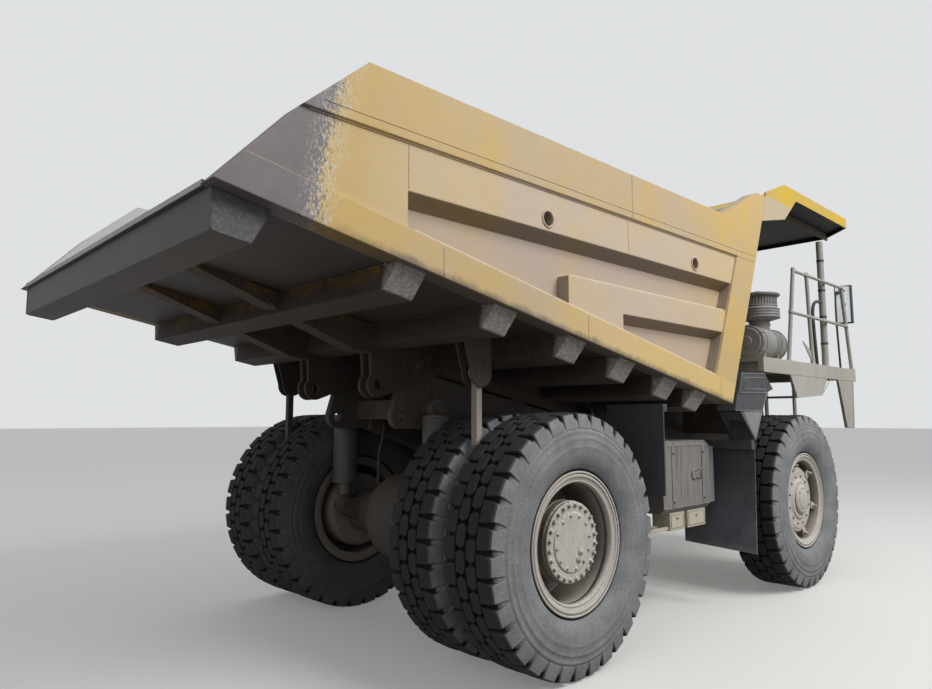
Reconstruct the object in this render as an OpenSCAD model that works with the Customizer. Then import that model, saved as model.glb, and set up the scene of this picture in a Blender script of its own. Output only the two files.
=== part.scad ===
// Rigid two-axle haul truck with a tipping rock body.
// Built with the rear axle at x = 0, forward +X, left +Y, up +Z and the ground at z = 0,
// then shifted along X so that the origin lies under the middle of the whole truck.

/* [Layout] */
// Rear axle to front axle
wheelbase = 3790; // [3760:5:3820]
// Middle of one pair of rear tyres to the middle of the other pair
rear_tread = 2550; // [2540:2:2570]
// Middle of one front tyre to the middle of the other
front_tread = 3226; // [3216:2:3236]
// Middle to middle of the two tyres of a rear pair
dual_spacing = 560; // [558:1:568]
// Gap left where two pieces seat on each other
seat_gap = 0.3; // [0.2:0.05:0.5]

/* [Wheels] */
// Outer radius of a tyre over its lugs
tyre_r = 885; // [875:1:888]
// Half the width of a tyre at its bulge
tyre_half_w = 250; // [244:1:251]
// Radius of the rim where the bead sits
bead_r = 419; // [410:1:425]
// Half the rim's width between its flanges
rim_half_w = 165; // [150:1:170]
// Height of the rim's flange above the bead seat
flange_h = 63; // [55:1:70]
// Thickness of the rim's barrel
rim_wall = 14; // [10:1:20]
// Lugs on each shoulder of a tyre
lug_count = 34; // [28:1:38]
// Width of the groove between two shoulder lugs
lug_groove = 50; // [40:1:70]
// How far the grooves run down the sidewall
lug_depth = 105; // [80:5:120]
// How far the grooves run in from the shoulder across the tread
lug_reach = 100; // [80:2:140]
// Radius of the planetary cover on a rear hub
rear_cover_r = 275; // [240:5:300]
// Radius of the disc on a front hub
front_disc_r = 335; // [320:5:350]
// Radius of the round cap on a front hub
front_cap_r = 150; // [120:5:180]

/* [Body] */
// Half the width over the body's sides
side_out = 1830; // [1825:1:1850]
// Depth of the hollow stiffeners on the body's sides
stiffener_d = 115; // [100:1:120]
// Thickness of the body's plates
body_plate = 25; // [15:1:30]
// Tail corner behind the rear axle
tail_back = 2655; // [2640:5:2700]
// Height of the lower rail's underside above the rear axle
floor_z = 2271; // [2265:1:2300]
// Slope of the floor, down towards the front
floor_pitch = 10.7; // [10.4:0.1:10.8]
// Height of the side's top rail
side_top = 3600; // [3560:5:3650]
// Lean of the front wall
wall_lean = 23.4; // [23:0.1:24]
// Height of the lower rail
low_rail_h = 190; // [170:5:200]
// Lower edge of the top band
band_z = 3250; // [3220:5:3280]
// Lower edge of the upper rib
rib_z = 2970; // [2950:5:3000]
// Front edge of the canopy ahead of the rear axle
canopy_front = 5830; // [5800:5:5900]
// Height over the canopy
canopy_top = 4220; // [4200:5:4260]
// Depth of the cross bolsters under the floor
bolster_d = 150; // [120:5:160]
// Width of a cross bolster along the truck
bolster_w = 210; // [180:5:220]
// Depth of the two long sills under the floor
sill_d = 230; // [225:1:240]

/* [Chassis] */
// Centre of a frame rail from the middle of the truck
rail_y = 440; // [436:1:444]
// Width of a frame rail
rail_w = 150; // [140:2:152]
// Underside of the frame rails
rail_bottom = 1080; // [1070:5:1100]
// Body pivot behind the rear axle
pivot_back = 380; // [375:1:390]
// Height of the body pivot
pivot_z = 2140; // [2135:1:2145]
// Radius of the pivot pins
pivot_r = 60; // [50:1:65]
// Kingpin axis from the middle of the truck
kingpin_y = 1200; // [1195:1:1203]
// Radius of the front suspension barrel
strut_r = 112; // [105:1:114]
// Radius of the banjo in the rear axle
banjo_r = 360; // [340:5:380]
// Top of the decks
deck_z = 2335; // [2330:1:2345]
// Front edge of the decks ahead of the rear axle
deck_front = 5600; // [5580:5:5620]

/* [Hoist] */
// Lower hoist pin ahead of the rear axle
hoist_low_x = 1000; // [995:1:1010]
// Height of the lower hoist pin
hoist_low_z = 800; // [790:1:805]
// Upper hoist pin ahead of the rear axle
hoist_top_x = 1700; // [1695:1:1705]
// Upper hoist pin below the floor
hoist_drop = 110; // [106:1:114]
// Hoist cylinders from the middle of the truck
hoist_y = 635; // [633:1:637]
// Radius of the hoist barrel
hoist_r = 85; // [80:1:86]

/* [Cab] */
// Rear face of the cab ahead of the rear axle
cab_back = 3500; // [3490:5:3520]
// Length of the cab's floor
cab_len = 1550; // [1520:5:1570]
// Inner side of the cab from the middle of the truck
cab_in = 50; // [45:1:60]
// Width of the cab
cab_w = 1100; // [1080:5:1110]
// Height of the cab
cab_h = 1560; // [1500:5:1580]
// Thickness of the cab's walls and door
cab_wall = 45; // [35:1:50]
// Width of the door
door_w = 540; // [500:5:550]

/* [Hidden] */

body_yellow = "#c9a24c";
rail_yellow = "#e0b23c";
chassis_brown = "#4c4641";
dusty_rim = "#b5a395";
rubber_grey = "#55555a";
deck_beige = "#b0a898";
dark_grey = "#3f4144";
glass_blue = "#7f97a5";

middle_x = (canopy_front - tail_back) / 2;
hub_z = tyre_r;
round_fn = 48;
side_in = side_out - stiffener_d - body_plate;
side_plate_out = side_out - stiffener_d;
pivot_x = -pivot_back;
floor_t = 30;

// Height of the lower rail's underside at a place along the truck
function under(x) = floor_z - x * tan(floor_pitch);
// A place at some depth below the floor's underside, square to the floor
function below(x, depth) = under(x) - depth / cos(floor_pitch);
// Front edge of the body's side at a height
wall_foot_x = 2278;
wall_foot_z = 2097;
function wall_x(z) = wall_foot_x + (z - wall_foot_z) * tan(wall_lean);
// Height at which the front wall's outer face meets the floor's underside
wall_low = under((wall_foot_x + (floor_z - wall_foot_z) * tan(wall_lean)) / (1 + tan(floor_pitch) * tan(wall_lean)));

module place() {
    translate([-middle_x, 0, 0]) children();
}

// A copy on each side of the truck
module both_sides() {
    children();
    mirror([0, 1, 0]) children();
}

// A side outline in X and Z, made thick from y_low to y_high
module slab(y_low, y_high) {
    translate([0, y_high, 0]) rotate([90, 0, 0]) linear_extrude(y_high - y_low) children();
}

// A section in Y and Z, run along X from x_low to x_high
module run(x_low, x_high) {
    translate([x_low, 0, 0]) rotate([90, 0, 90]) linear_extrude(x_high - x_low) children();
}

// A box by its lowest and highest corners
module block(low, high) {
    translate(low) cube(high - low);
}

// A round bar between two points
module bar(p, q, r) {
    v = q - p;
    translate(p) rotate([0, acos(v.z / norm(v)), atan2(v.y, v.x)])
        cylinder(r = r, h = norm(v), $fn = 24);
}

// A shaft along Y
module shaft(x, z, r, y_low, y_high) {
    translate([x, y_high, z]) rotate([90, 0, 0]) cylinder(r = r, h = y_high - y_low, $fn = round_fn);
}

// Outline of a strap: two round ends joined by their common tangents
module strap(p, p_r, q, q_r) {
    v = q - p;
    turn = acos((p_r - q_r) / norm(v));
    lie = atan2(v.y, v.x);
    up = [cos(lie + turn), sin(lie + turn)];
    down = [cos(lie - turn), sin(lie - turn)];
    translate(p) circle(r = p_r, $fn = round_fn);
    translate(q) circle(r = q_r, $fn = round_fn);
    polygon([p + p_r * up, q + q_r * up, q + q_r * down, p + p_r * down]);
}

// Lower hoist pin, upper hoist pin and the cylinder's rest angle
hoist_low = [hoist_low_x, hoist_low_z];
hoist_top = [hoist_top_x, under(hoist_top_x) - hoist_drop];
hoist_len = norm(hoist_top - hoist_low);
hoist_angle = atan2(hoist_top.y - hoist_low.y, hoist_top.x - hoist_low.x);

// Frame rails: box rails whose tops follow the body's sills, with ears for the pivot
rail_in = rail_y - rail_w / 2;
rail_out = rail_y + rail_w / 2;
rail_rear = -200;
rail_front = 5300;
pad_t = 25;
rail_flat_x = 2100;
rail_flat_z = below(rail_flat_x, sill_d + pad_t);
ear_half = 30;
ear_r = 110;
stop_hole = [-520, 1740];
stop_hole_r = 38;
stop_eye_r = 95;
susp_top = [-300, 1800];
susp_low = [-300, 960];
susp_y = 620;
susp_pin_r = 32;
hoist_pin_r = 40;
strut_bracket_half = 150;
strut_bracket_low = 1560;
strut_bracket_top = 2040;

module rail_outline() {
    polygon([[rail_rear, 1640], [rail_rear, below(rail_rear, sill_d + pad_t)],
        [rail_flat_x, rail_flat_z], [rail_front, rail_flat_z], [rail_front, rail_bottom],
        [hoist_low.x, rail_bottom], [450, 1420]]);
}

module ear_outline() {
    difference() {
        union() {
            strap([pivot_x, pivot_z], ear_r, stop_hole, stop_eye_r);
            polygon([[stop_hole.x, stop_hole.y - stop_eye_r], [-150, 1640], [-150, 2030],
                [pivot_x + 60, pivot_z + 90], [pivot_x, pivot_z]]);
        }
        translate([pivot_x, pivot_z]) circle(r = pivot_r + seat_gap, $fn = round_fn);
        translate(stop_hole) circle(r = stop_hole_r, $fn = round_fn);
    }
}

module frame_rails() {
    place() color(chassis_brown) both_sides() {
        slab(rail_in, rail_out) rail_outline();
        slab(rail_y - ear_half, rail_y + ear_half) ear_outline();
        slab(rail_out - 60, rail_out) strap(hoist_low + [0, 400], 110, hoist_low, 70);
        shaft(hoist_low.x, hoist_low.y, hoist_pin_r, rail_out - 60, hoist_y + 90);
        shaft(susp_top.x, susp_top.y, susp_pin_r, rail_y, susp_y + 75);
        difference() {
            block([wheelbase - strut_bracket_half, rail_out - 1, strut_bracket_low],
                [wheelbase + strut_bracket_half, kingpin_y, strut_bracket_top]);
            translate([wheelbase, kingpin_y, 0]) cylinder(r = strut_r + seat_gap, h = 3000, $fn = round_fn);
        }
    }
}

// Crossmembers between the rails: [rear x, front x, lower z, upper z]
crossbeams = [[-320, -210, 1720, 1880], [1190, 1310, 1080, 1260], [2560, 2680, 1085, 1230],
    [3480, 3600, 1085, 1160], [4660, 4780, 1085, 1160], [5150, 5290, 1100, 1480]];
a_ball = [1250, 700];
a_ear_in = 78;
a_ear_t = 40;

module frame_crossmembers() {
    place() color(chassis_brown) {
        for (b = crossbeams) {
            reach = b[0] < rail_rear ? rail_y - ear_half : rail_in;
            block([b[0], -reach + seat_gap, b[2]], [b[1], reach - seat_gap, b[3]]);
        }
        both_sides() slab(a_ear_in, a_ear_in + a_ear_t)
            strap([a_ball.x, crossbeams[1][2] + 60], 60, a_ball, 60);
        shaft(a_ball.x, a_ball.y, 28, -a_ear_in - a_ear_t, a_ear_in + a_ear_t);
    }
}

// Rear axle: banjo, tubes, spindles and the A-frame that locates it
axle_tube_r = 190;
spindle_r = 150;
rear_in_y = (rear_tread - dual_spacing) / 2;
rear_out_y = (rear_tread + dual_spacing) / 2;
hub_in_y = rear_in_y - tyre_half_w + 15;
spindle_end = rear_in_y + 100;
a_leg_w = 110;
a_leg_h = 110;

module rear_axle() {
    place() color(chassis_brown) {
        translate([0, 0, hub_z]) rotate([90, 0, 0]) rotate_extrude($fn = round_fn)
            polygon([[0, -spindle_end], [spindle_r, -spindle_end], [spindle_r, -hub_in_y + 20],
                [axle_tube_r, -hub_in_y + 20], [axle_tube_r, -500], [banjo_r, -190], [banjo_r, 190],
                [axle_tube_r, 500], [axle_tube_r, hub_in_y - 20], [spindle_r, hub_in_y - 20],
                [spindle_r, spindle_end], [0, spindle_end]]);
        shaft_nose();
        both_sides() {
            for (y = [susp_y - 75, susp_y + 32])
                slab(y, y + 43) strap([0, hub_z], 150, susp_low, 60);
        }
        difference() {
            translate([0, 0, a_ball.y - a_leg_h / 2]) linear_extrude(a_leg_h) {
                translate([a_ball.x, 0]) circle(r = a_ear_in - 8, $fn = round_fn);
                for (s = [1, -1])
                    polygon([[a_ball.x, 50 * s], [a_ball.x - 60, -50 * s], [40, (380 - a_leg_w) * s],
                        [40, 380 * s]]);
            }
            shaft(a_ball.x, a_ball.y, 28 + seat_gap, -a_ear_in, a_ear_in);
        }
        shaft(susp_low.x, susp_low.y, susp_pin_r, -susp_y - 75, -susp_y + 75);
        shaft(susp_low.x, susp_low.y, susp_pin_r, susp_y - 75, susp_y + 75);
    }
}

nose_len = 470;
module shaft_nose() {
    translate([0, 0, hub_z]) rotate([0, 90, 0]) cylinder(r1 = 210, r2 = 110, h = nose_len, $fn = round_fn);
}

// Rear suspension cylinders, with an eye at each end
susp_r = 105;
susp_rod_r = 62;
neck_h = 95;
module rear_suspension() {
    place() color(dark_grey) both_sides() difference() {
        union() {
            for (e = [susp_top, susp_low]) shaft(e.x, e.y, 72, susp_y - 30, susp_y + 30);
            translate([susp_top.x, susp_y, susp_low.y + 230])
                cylinder(r = susp_r, h = susp_top.y - susp_low.y - 280, $fn = round_fn);
            translate([susp_low.x, susp_y, susp_low.y + neck_h])
                cylinder(r = susp_rod_r, h = 240 - neck_h, $fn = round_fn);
            for (z = [susp_low.y, susp_top.y - neck_h])
                block([susp_low.x - 40, susp_y - 29, z], [susp_low.x + 40, susp_y + 29, z + neck_h + 1]);
        }
        for (e = [susp_top, susp_low])
            shaft(e.x, e.y, susp_pin_r + seat_gap, susp_y - 31, susp_y + 31);
    }
}

// Front suspension barrels, which carry the knuckles
strut_low = 1500;
strut_top = 2160;
strut_rod_r = 80;
strut_rod_top = 1650;
module front_struts() {
    place() color(dark_grey) both_sides() translate([wheelbase, kingpin_y, 0]) difference() {
        union() {
            translate([0, 0, strut_low]) cylinder(r = strut_r, h = strut_top - strut_low, $fn = round_fn);
            translate([0, 0, strut_top - 1]) cylinder(r = strut_r * 0.7, h = 40, $fn = round_fn);
        }
        translate([0, 0, strut_low - 1])
            cylinder(r = strut_rod_r + seat_gap, h = strut_rod_top + 1 + seat_gap - strut_low + 1, $fn = round_fn);
    }
}

// Knuckle with its kingpin rod, spindle and steering arm
front_y = front_tread / 2;
front_spindle_r = 90;
front_spindle_end = front_y - 15;
arm_len = 350;
arm_z = 700;
arm_t = 60;
stud_r = 20;
module knuckle() {
    translate([wheelbase, 0, 0]) difference() {
        union() {
            translate([0, kingpin_y, 640]) cylinder(r = 105, h = 690, $fn = round_fn);
            translate([0, kingpin_y, 1300]) cylinder(r = strut_rod_r, h = strut_rod_top - 1300, $fn = round_fn);
            shaft(0, hub_z, front_spindle_r, kingpin_y, front_spindle_end);
            shaft(0, hub_z, 210, kingpin_y + 50, front_y - 180);
            translate([0, 0, arm_z]) linear_extrude(arm_t)
                strap([0, kingpin_y], 90, [-arm_len, kingpin_y], 48);
        }
        translate([-arm_len, kingpin_y, arm_z - 1]) cylinder(r = stud_r + seat_gap, h = arm_t + 2, $fn = 32);
    }
}

module knuckle_left() { place() color(chassis_brown) knuckle(); }
module knuckle_right() { place() color(chassis_brown) mirror([0, 1, 0]) knuckle(); }

module tie_rod() {
    eye_z = arm_z + arm_t + seat_gap;
    rod_z = eye_z + 35;
    place() color(chassis_brown) translate([wheelbase - arm_len, 0, 0]) {
        bar([0, -kingpin_y, rod_z], [0, kingpin_y, rod_z], 30);
        both_sides() {
            translate([0, kingpin_y, eye_z]) cylinder(r = 46, h = 70, $fn = 32);
            translate([0, kingpin_y, arm_z]) cylinder(r = stud_r, h = arm_t + 5, $fn = 32);
        }
    }
}

// Engine and transmission as plain blocks, and the shaft back to the axle
engine_half = 345;
engine_x = [3450, 4850];
engine_z = [1160, 2150];
box_x = [1560, 2400];
box_z = [850, 1430];
box_half = 290;
module power_train() {
    place() color(dark_grey) {
        block([engine_x[0], -engine_half, engine_z[0] + seat_gap], [engine_x[1], engine_half, engine_z[1]]);
        block([box_x[0], -box_half, box_z[0]], [box_x[1], box_half, box_z[1]]);
        for (x = [box_x[0] + 100, box_x[1] - 220])
            block([x, -rail_in + seat_gap, 1150], [x + 120, rail_in - seat_gap, 1250]);
        bar([nose_len + 10, 0, hub_z + 10], [box_x[0] + 5, 0, hub_z + 130], 55);
        bar([box_x[1] - 5, 0, 1300], [engine_x[0] + 5, 0, 1330], 50);
    }
}

// Hood over the engine and the radiator shell with its louvres
hood_in = -760;
hood_out = 30;
hood_back = 3900;
hood_h = 225;
shell_half = 620;
shell_back = rail_front + 5;
shell_low = 1150;
module hood() {
    place() color(body_yellow) {
        run(hood_back, shell_back - 60) polygon([[hood_in, deck_z + seat_gap], [hood_out - 20, deck_z + seat_gap],
            [hood_out - 20, deck_z + hood_h - 60], [hood_out - 80, deck_z + hood_h],
            [hood_in + 90, deck_z + hood_h], [hood_in, deck_z + hood_h - 90]]);
    }
}

louvre_count = 9;
louvre_t = 22;
module radiator_grille() {
    opening_half = shell_half - 90;
    low = shell_low + 110;
    high = deck_z + hood_h - 130;
    pitch = (high - low) / louvre_count;
    place() color(body_yellow) {
        difference() {
            block([shell_back, -shell_half, shell_low + seat_gap], [deck_front, shell_half, deck_z + hood_h]);
            block([deck_front - 140, -opening_half, low], [deck_front + 1, opening_half, high]);
        }
        for (i = [1:louvre_count - 1])
            translate([deck_front - 80, 0, low + i * pitch]) rotate([0, 35, 0])
                block([-45, -opening_half - 1, -louvre_t / 2], [45, opening_half + 1, louvre_t / 2]);
    }
}

bumper_half = 1100;
bumper_low = 800;
bumper_front = 5720;
tow_x = 5780;
tow_y = 360;
tow_z = 900;
tow_t = 50;
tow_r = 25;
module bumper() {
    place() color(body_yellow) {
        run(rail_front + seat_gap, bumper_front) polygon([[-bumper_half, bumper_low + 60], [-bumper_half + 60, bumper_low],
            [bumper_half - 60, bumper_low], [bumper_half, bumper_low + 60], [bumper_half, shell_low],
            [-bumper_half, shell_low]]);
        both_sides() translate([0, tow_y, tow_z]) linear_extrude(tow_t) difference() {
            strap([bumper_front - 30, 0], 55, [tow_x, 0], 45);
            translate([tow_x, 0]) circle(r = tow_r, $fn = round_fn);
        }
        both_sides() block([deck_front - 200, shell_half + seat_gap, shell_low - 1],
            [deck_front - 100, bumper_half, 1700]);
        both_sides() for (y = [640, 860])
            translate([bumper_front - 1, y, 985]) rotate([0, 90, 0]) cylinder(r = 85, h = 60, $fn = 32);
    }
}

// Decks beside the hood, with the frames that carry them
deck_back = 2950;
deck_out = 1790;
deck_t = 45;
deck_beam = 100;
deck_posts = [3000, 5100];
deck_rim_w = 60;
deck_rim_h = 145;
gusset_t = 30;
gusset_top = deck_z - deck_t + 1;
// Plates under the deck's edge: rear x, front x, and the two lower corners
gussets = [[3570, 4755, [4455, 1990], [3735, 1945]], [4965, 5495, [5450, 1615], [5205, 1620]]];
module deck_frame() {
    for (x = deck_posts) {
        block([x, rail_in, rail_flat_z + seat_gap], [x + 150, rail_out, deck_z - deck_t + 1]);
        block([x, rail_in, deck_z - deck_t - deck_beam], [x + 150, deck_out - 60, deck_z - deck_t + 1]);
    }
    block([deck_back, deck_out - deck_rim_w, deck_z - deck_rim_h], [deck_front, deck_out, deck_z]);
    slab(deck_out - gusset_t, deck_out - 2) for (g = gussets)
        polygon([[g[0], gusset_top], [g[1], gusset_top], g[2], g[3]]);
}

module decks() {
    place() color(deck_beige) {
        block([deck_back, hood_out, deck_z - deck_t], [shell_back - 60, deck_out, deck_z]);
        block([shell_back - 61, shell_half + 5, deck_z - deck_t], [deck_front, deck_out, deck_z]);
        deck_frame();
        mirror([0, 1, 0]) {
            block([deck_back, -hood_in - 60, deck_z - deck_t], [deck_front, deck_out, deck_z]);
            deck_frame();
        }
    }
}

// Handrails of straight tubes: [foot x, top x] of each post
rail_tube = 21;
rail_thin = 17;
rail_line_y = deck_out - 35;
rail_top_z = 3370;
rail_mid_z = 2870;
posts = [[3660, 3890], [4320, 4260], [5580, 5370]];
function post_x(post, z) = post[0] + (post[1] - post[0]) * (z - deck_z) / (rail_top_z - deck_z);
// Half the width that a leaning post takes from the end of a level rail
function post_half(post) = let (lean = atan(abs(post[1] - post[0]) / (rail_top_z - deck_z)))
    rail_tube / cos(lean) + rail_thin * tan(lean);
module handrail() {
    for (p = posts)
        intersection() {
            bar([p[0], rail_line_y, deck_z], [p[1], rail_line_y, rail_top_z], rail_tube);
            block([p[0] - 500, 0, deck_z + seat_gap], [p[0] + 500, 3000, rail_top_z + 50]);
        }
    for (i = [0, 1]) for (z = [rail_mid_z, rail_top_z - 30]) {
        start = post_x(posts[i], z) + post_half(posts[i]) + seat_gap;
        end = post_x(posts[i + 1], z) - post_half(posts[i + 1]) - seat_gap;
        bar([start, rail_line_y, z], [end, rail_line_y, z], rail_thin);
    }
}

stack_x = 4890;
stack_top = 3850;
module handrail_right() {
    place() color(deck_beige) {
        mirror([0, 1, 0]) handrail();
        bar([stack_x, -rail_line_y + 62, deck_z + seat_gap], [stack_x, -rail_line_y + 62, stack_top], 38);
    }
}

module handrail_left() { place() color(deck_beige) handrail(); }

// Ladders on the bumper in front of the decks, with a hanging step below it
ladder_in = 640;
ladder_w = 390;
ladder_low = 480;
step_gap = 300;
module ladders() {
    place() color(deck_beige) both_sides() {
        for (y = [ladder_in, ladder_in + ladder_w - 20]) {
            block([deck_front + seat_gap, y, shell_low + seat_gap], [deck_front + 80, y + 20, deck_z]);
            block([deck_front + seat_gap, y, ladder_low], [deck_front + 80, y + 20, bumper_low - seat_gap]);
        }
        for (z = concat([ladder_low + 10], [for (h = [shell_low + 250:step_gap:deck_z - 60]) h]))
            block([deck_front + 5, ladder_in + 19, z], [deck_front + 75, ladder_in + ladder_w - 19, z + 28]);
    }
}

// Mirrors on arms from the front posts
mirror_z = 3150;
mirror_h = 480;
mirror_out = deck_out + 35;
module mirrors() {
    x = post_x(posts[2], mirror_z) + post_half(posts[2]) + seat_gap;
    place() color(dark_grey) both_sides() {
        bar([x, rail_line_y, mirror_z], [x + 70, rail_line_y, mirror_z], 14);
        block([x + 60, mirror_out - 180, mirror_z - mirror_h / 2], [x + 110, mirror_out, mirror_z + mirror_h / 2]);
    }
}

// Cab: hollow shell with its windows and door opening cut
cab_front = cab_back + cab_len;
cab_out = cab_in + cab_w;
cab_top = deck_z + cab_h;
cab_rake = 130;
sill_z = deck_z + 760;
head_z = cab_top - 150;
door_back = cab_back + 700;
door_low = deck_z + 90;
door_clear = 8;
hinge_r = 8;
module cab_outline(inset) {
    polygon([[cab_back + inset, deck_z + seat_gap + inset], [cab_front - inset, deck_z + seat_gap + inset],
        [cab_front - inset, sill_z], [cab_front - cab_rake - inset, cab_top - inset],
        [cab_back + inset, cab_top - inset]]);
}

module cab_shell() {
    place() color(body_yellow) difference() {
        slab(cab_in, cab_out) cab_outline(0);
        slab(cab_in + cab_wall, cab_out - cab_wall) cab_outline(cab_wall);
        block([cab_front - cab_rake - 200, cab_in + 120, sill_z], [cab_front + 10, cab_out - 120, head_z]);
        block([cab_back - 10, cab_in + 120, sill_z], [cab_back + cab_wall + 10, cab_out - 120, head_z]);
        block([cab_back + 180, cab_in - 10, sill_z], [cab_front - cab_rake - 180, cab_in + cab_wall + 10, head_z]);
        block([cab_back + 150, cab_out - cab_wall - 10, sill_z], [door_back - 90, cab_out + 10, head_z]);
        block([door_back - door_clear, cab_out - cab_wall - 10, door_low - door_clear],
            [door_back + door_w + door_clear, cab_out + 10, head_z + 40 + door_clear]);
    }
}

glass_t = 8;
module cab_glass() {
    g = seat_gap;
    place() color(glass_blue) {
        difference() {
            slab(cab_in + 120 + g, cab_out - 120 - g) difference() {
                cab_outline(15);
                cab_outline(15 + glass_t);
            }
            block([0, 0, 0], [cab_front + 100, 3000, sill_z + g]);
            block([0, 0, head_z - g], [cab_front + 100, 3000, cab_top + 100]);
        }
        block([cab_back + 180 + g, cab_in + 15, sill_z + g],
            [cab_front - cab_rake - 180 - g, cab_in + 15 + glass_t, head_z - g]);
        block([cab_back + 150 + g, cab_out - 15 - glass_t, sill_z + g],
            [door_back - 90 - g, cab_out - 15, head_z - g]);
    }
}

module cab_interior() {
    seat_x = cab_back + 500;
    seat_y = (cab_in + cab_out) / 2;
    floor_in = deck_z + cab_wall + 2 * seat_gap;
    place() color(dark_grey) {
        block([seat_x - 150, seat_y - 180, floor_in], [seat_x + 220, seat_y + 180, floor_in + 300]);
        block([seat_x - 220, seat_y - 240, floor_in + 300], [seat_x + 280, seat_y + 240, floor_in + 420]);
        block([seat_x - 330, seat_y - 240, floor_in + 300], [seat_x - 219, seat_y + 240, floor_in + 1020]);
        block([cab_front - 420, cab_in + cab_wall + seat_gap, floor_in],
            [cab_front - cab_wall - 5, cab_out - cab_wall - 40, floor_in + 640]);
        bar([cab_front - 430, seat_y, floor_in + 560], [cab_front - 560, seat_y, floor_in + 720], 22);
        translate([cab_front - 560, seat_y, floor_in + 720]) rotate([0, -39, 0])
            rotate_extrude($fn = 40) translate([200, 0]) circle(r = 16, $fn = 16);
        translate([cab_front - 560, seat_y, floor_in + 720]) rotate([0, -39, 0])
            block([-200, -18, -10], [200, 18, 10]);
    }
}

module cab_door() {
    place() color(body_yellow) {
        difference() {
            block([door_back, cab_out - cab_wall, door_low], [door_back + door_w, cab_out, head_z + 40]);
            block([door_back + 70, cab_out - cab_wall - 1, sill_z - 200],
                [door_back + door_w - 70, cab_out + 1, head_z - 30]);
        }
        for (z = [door_low + 200, head_z - 200]) {
            translate([door_back - hinge_r, cab_out + hinge_r + seat_gap, z]) cylinder(r = hinge_r, h = 90, $fn = 24);
            block([door_back - hinge_r, cab_out + seat_gap, z], [door_back + 1, cab_out + hinge_r, z + 90]);
            block([door_back, cab_out - 1, z], [door_back + 30, cab_out + hinge_r, z + 90]);
        }
    }
}

// Air cleaner: canister on its side, riser and stacked precleaner
clean_y = 290 - deck_out;
clean_x = 3560;
can_r = 170;
can_len = 620;
module air_cleaner() {
    can_z = deck_z + can_r + 22;
    place() color(dark_grey) {
        translate([clean_x - can_len / 2, clean_y, can_z]) rotate([0, 90, 0])
            cylinder(r = can_r, h = can_len, $fn = round_fn);
        for (x = [clean_x - 180, clean_x + 140])
            block([x, clean_y - 120, deck_z + seat_gap], [x + 40, clean_y + 120, can_z]);
        translate([clean_x, clean_y, can_z]) rotate_extrude($fn = round_fn)
            polygon([[0, 0], [105, 0], [105, can_r + 70], [205, can_r + 100], [205, can_r + 190],
                [180, can_r + 230], [180, can_r + 330], [215, can_r + 340], [215, can_r + 365],
                [60, can_r + 385], [0, can_r + 385]]);
    }
}

// Tanks on the rails between the wheels
tank_in = 745;
tank_out = 1550;
tank_low = 920;
tank_top = 1530;
tank_back = 1430;
module tank(front) {
    e = 40;
    run(tank_back, front) polygon([[tank_in, tank_low], [tank_out - e, tank_low], [tank_out, tank_low + e],
        [tank_out, tank_top - e], [tank_out - e, tank_top], [tank_in, tank_top]]);
    for (x = [1900, 2040]) block([x, rail_out + seat_gap, 1150], [x + 80, tank_in + 1, 1400]);
}

// The right tank has a lower second chamber, two boxes under it and a step behind them
tank_mid = 2230;
tank_front = 2435;
under_boxes = [[1555, 1795], [1850, 2165]];
under_box_z = 772;
step_back = 1240;
step_t = 25;
module hydraulic_tank() {
    place() color(deck_beige) mirror([0, 1, 0]) {
        tank(tank_mid);
        block([tank_mid - 1, tank_in + 40, tank_low + 30], [tank_front, tank_out - 60, tank_top - 60]);
        for (b = under_boxes)
            block([b[0], tank_out - 190, under_box_z], [b[1], tank_out - 20, tank_low + 1]);
        for (y = [tank_out - 160, tank_out - 60])
            block([step_back, y, under_box_z + 10], [under_boxes[0][0] + 1, y + step_t, under_box_z + 10 + step_t]);
        for (x = [step_back + 20, step_back + 150])
            block([x, tank_out - 140, under_box_z + 12], [x + 40, tank_out - 50, under_box_z + 8 + step_t]);
    }
}

fuel_front = 2450;
module fuel_tank() {
    place() color(deck_beige) tank(fuel_front);
}

// Flaps ahead of the front tyres' rear and the boxes above them
flap_x = wheelbase - 1190;
flap_t = 12;
flap_arm_z = [1440, 1520];
flap_in = 1080;
flap_out = side_out - 10;
hood_tip = [-241, 1785];
module front_mudflaps() {
    place() color(dark_grey) both_sides() {
        slab_flap();
        block([flap_x - 60, rail_out + seat_gap, flap_arm_z[0]], [flap_x, flap_out, flap_arm_z[1]]);
        run(flap_x - 1, flap_x + flap_t) polygon([[flap_out - 250, 1499], [flap_out - 8, 1499],
            [flap_out - 8, 1812], [flap_out - 250, 1812]]);
        translate([flap_x, 0, 0]) {
            difference() {
                slab(flap_out - 220, flap_out - 3)
                    polygon([hood_tip, hood_tip + [0, 25], [197, 1815], [197, 1799], [34, 1523]]);
                translate([hood_tip.x, 0, hood_tip.y]) rotate([0, 43.6, 0])
                    block([110, flap_out - 198, -10], [345, flap_out - 25, 80]);
            }
            slab(flap_out - 180, flap_out + 1) polygon([[-303, 1966], [336, 1992], [198, 1800], [-362, 1800]]);
            slab(flap_out - 295, flap_out + 5)
                polygon([[-208, 2145], [269, 2159], [446, 2016], [285, 1975], [-302, 1959]]);
        }
    }
}

module slab_flap() {
    run(flap_x - 1, flap_x + flap_t)
        polygon([[flap_in, 520], [flap_out - 20, 480], [flap_out, 1500], [flap_in, 1500]]);
}

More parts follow.
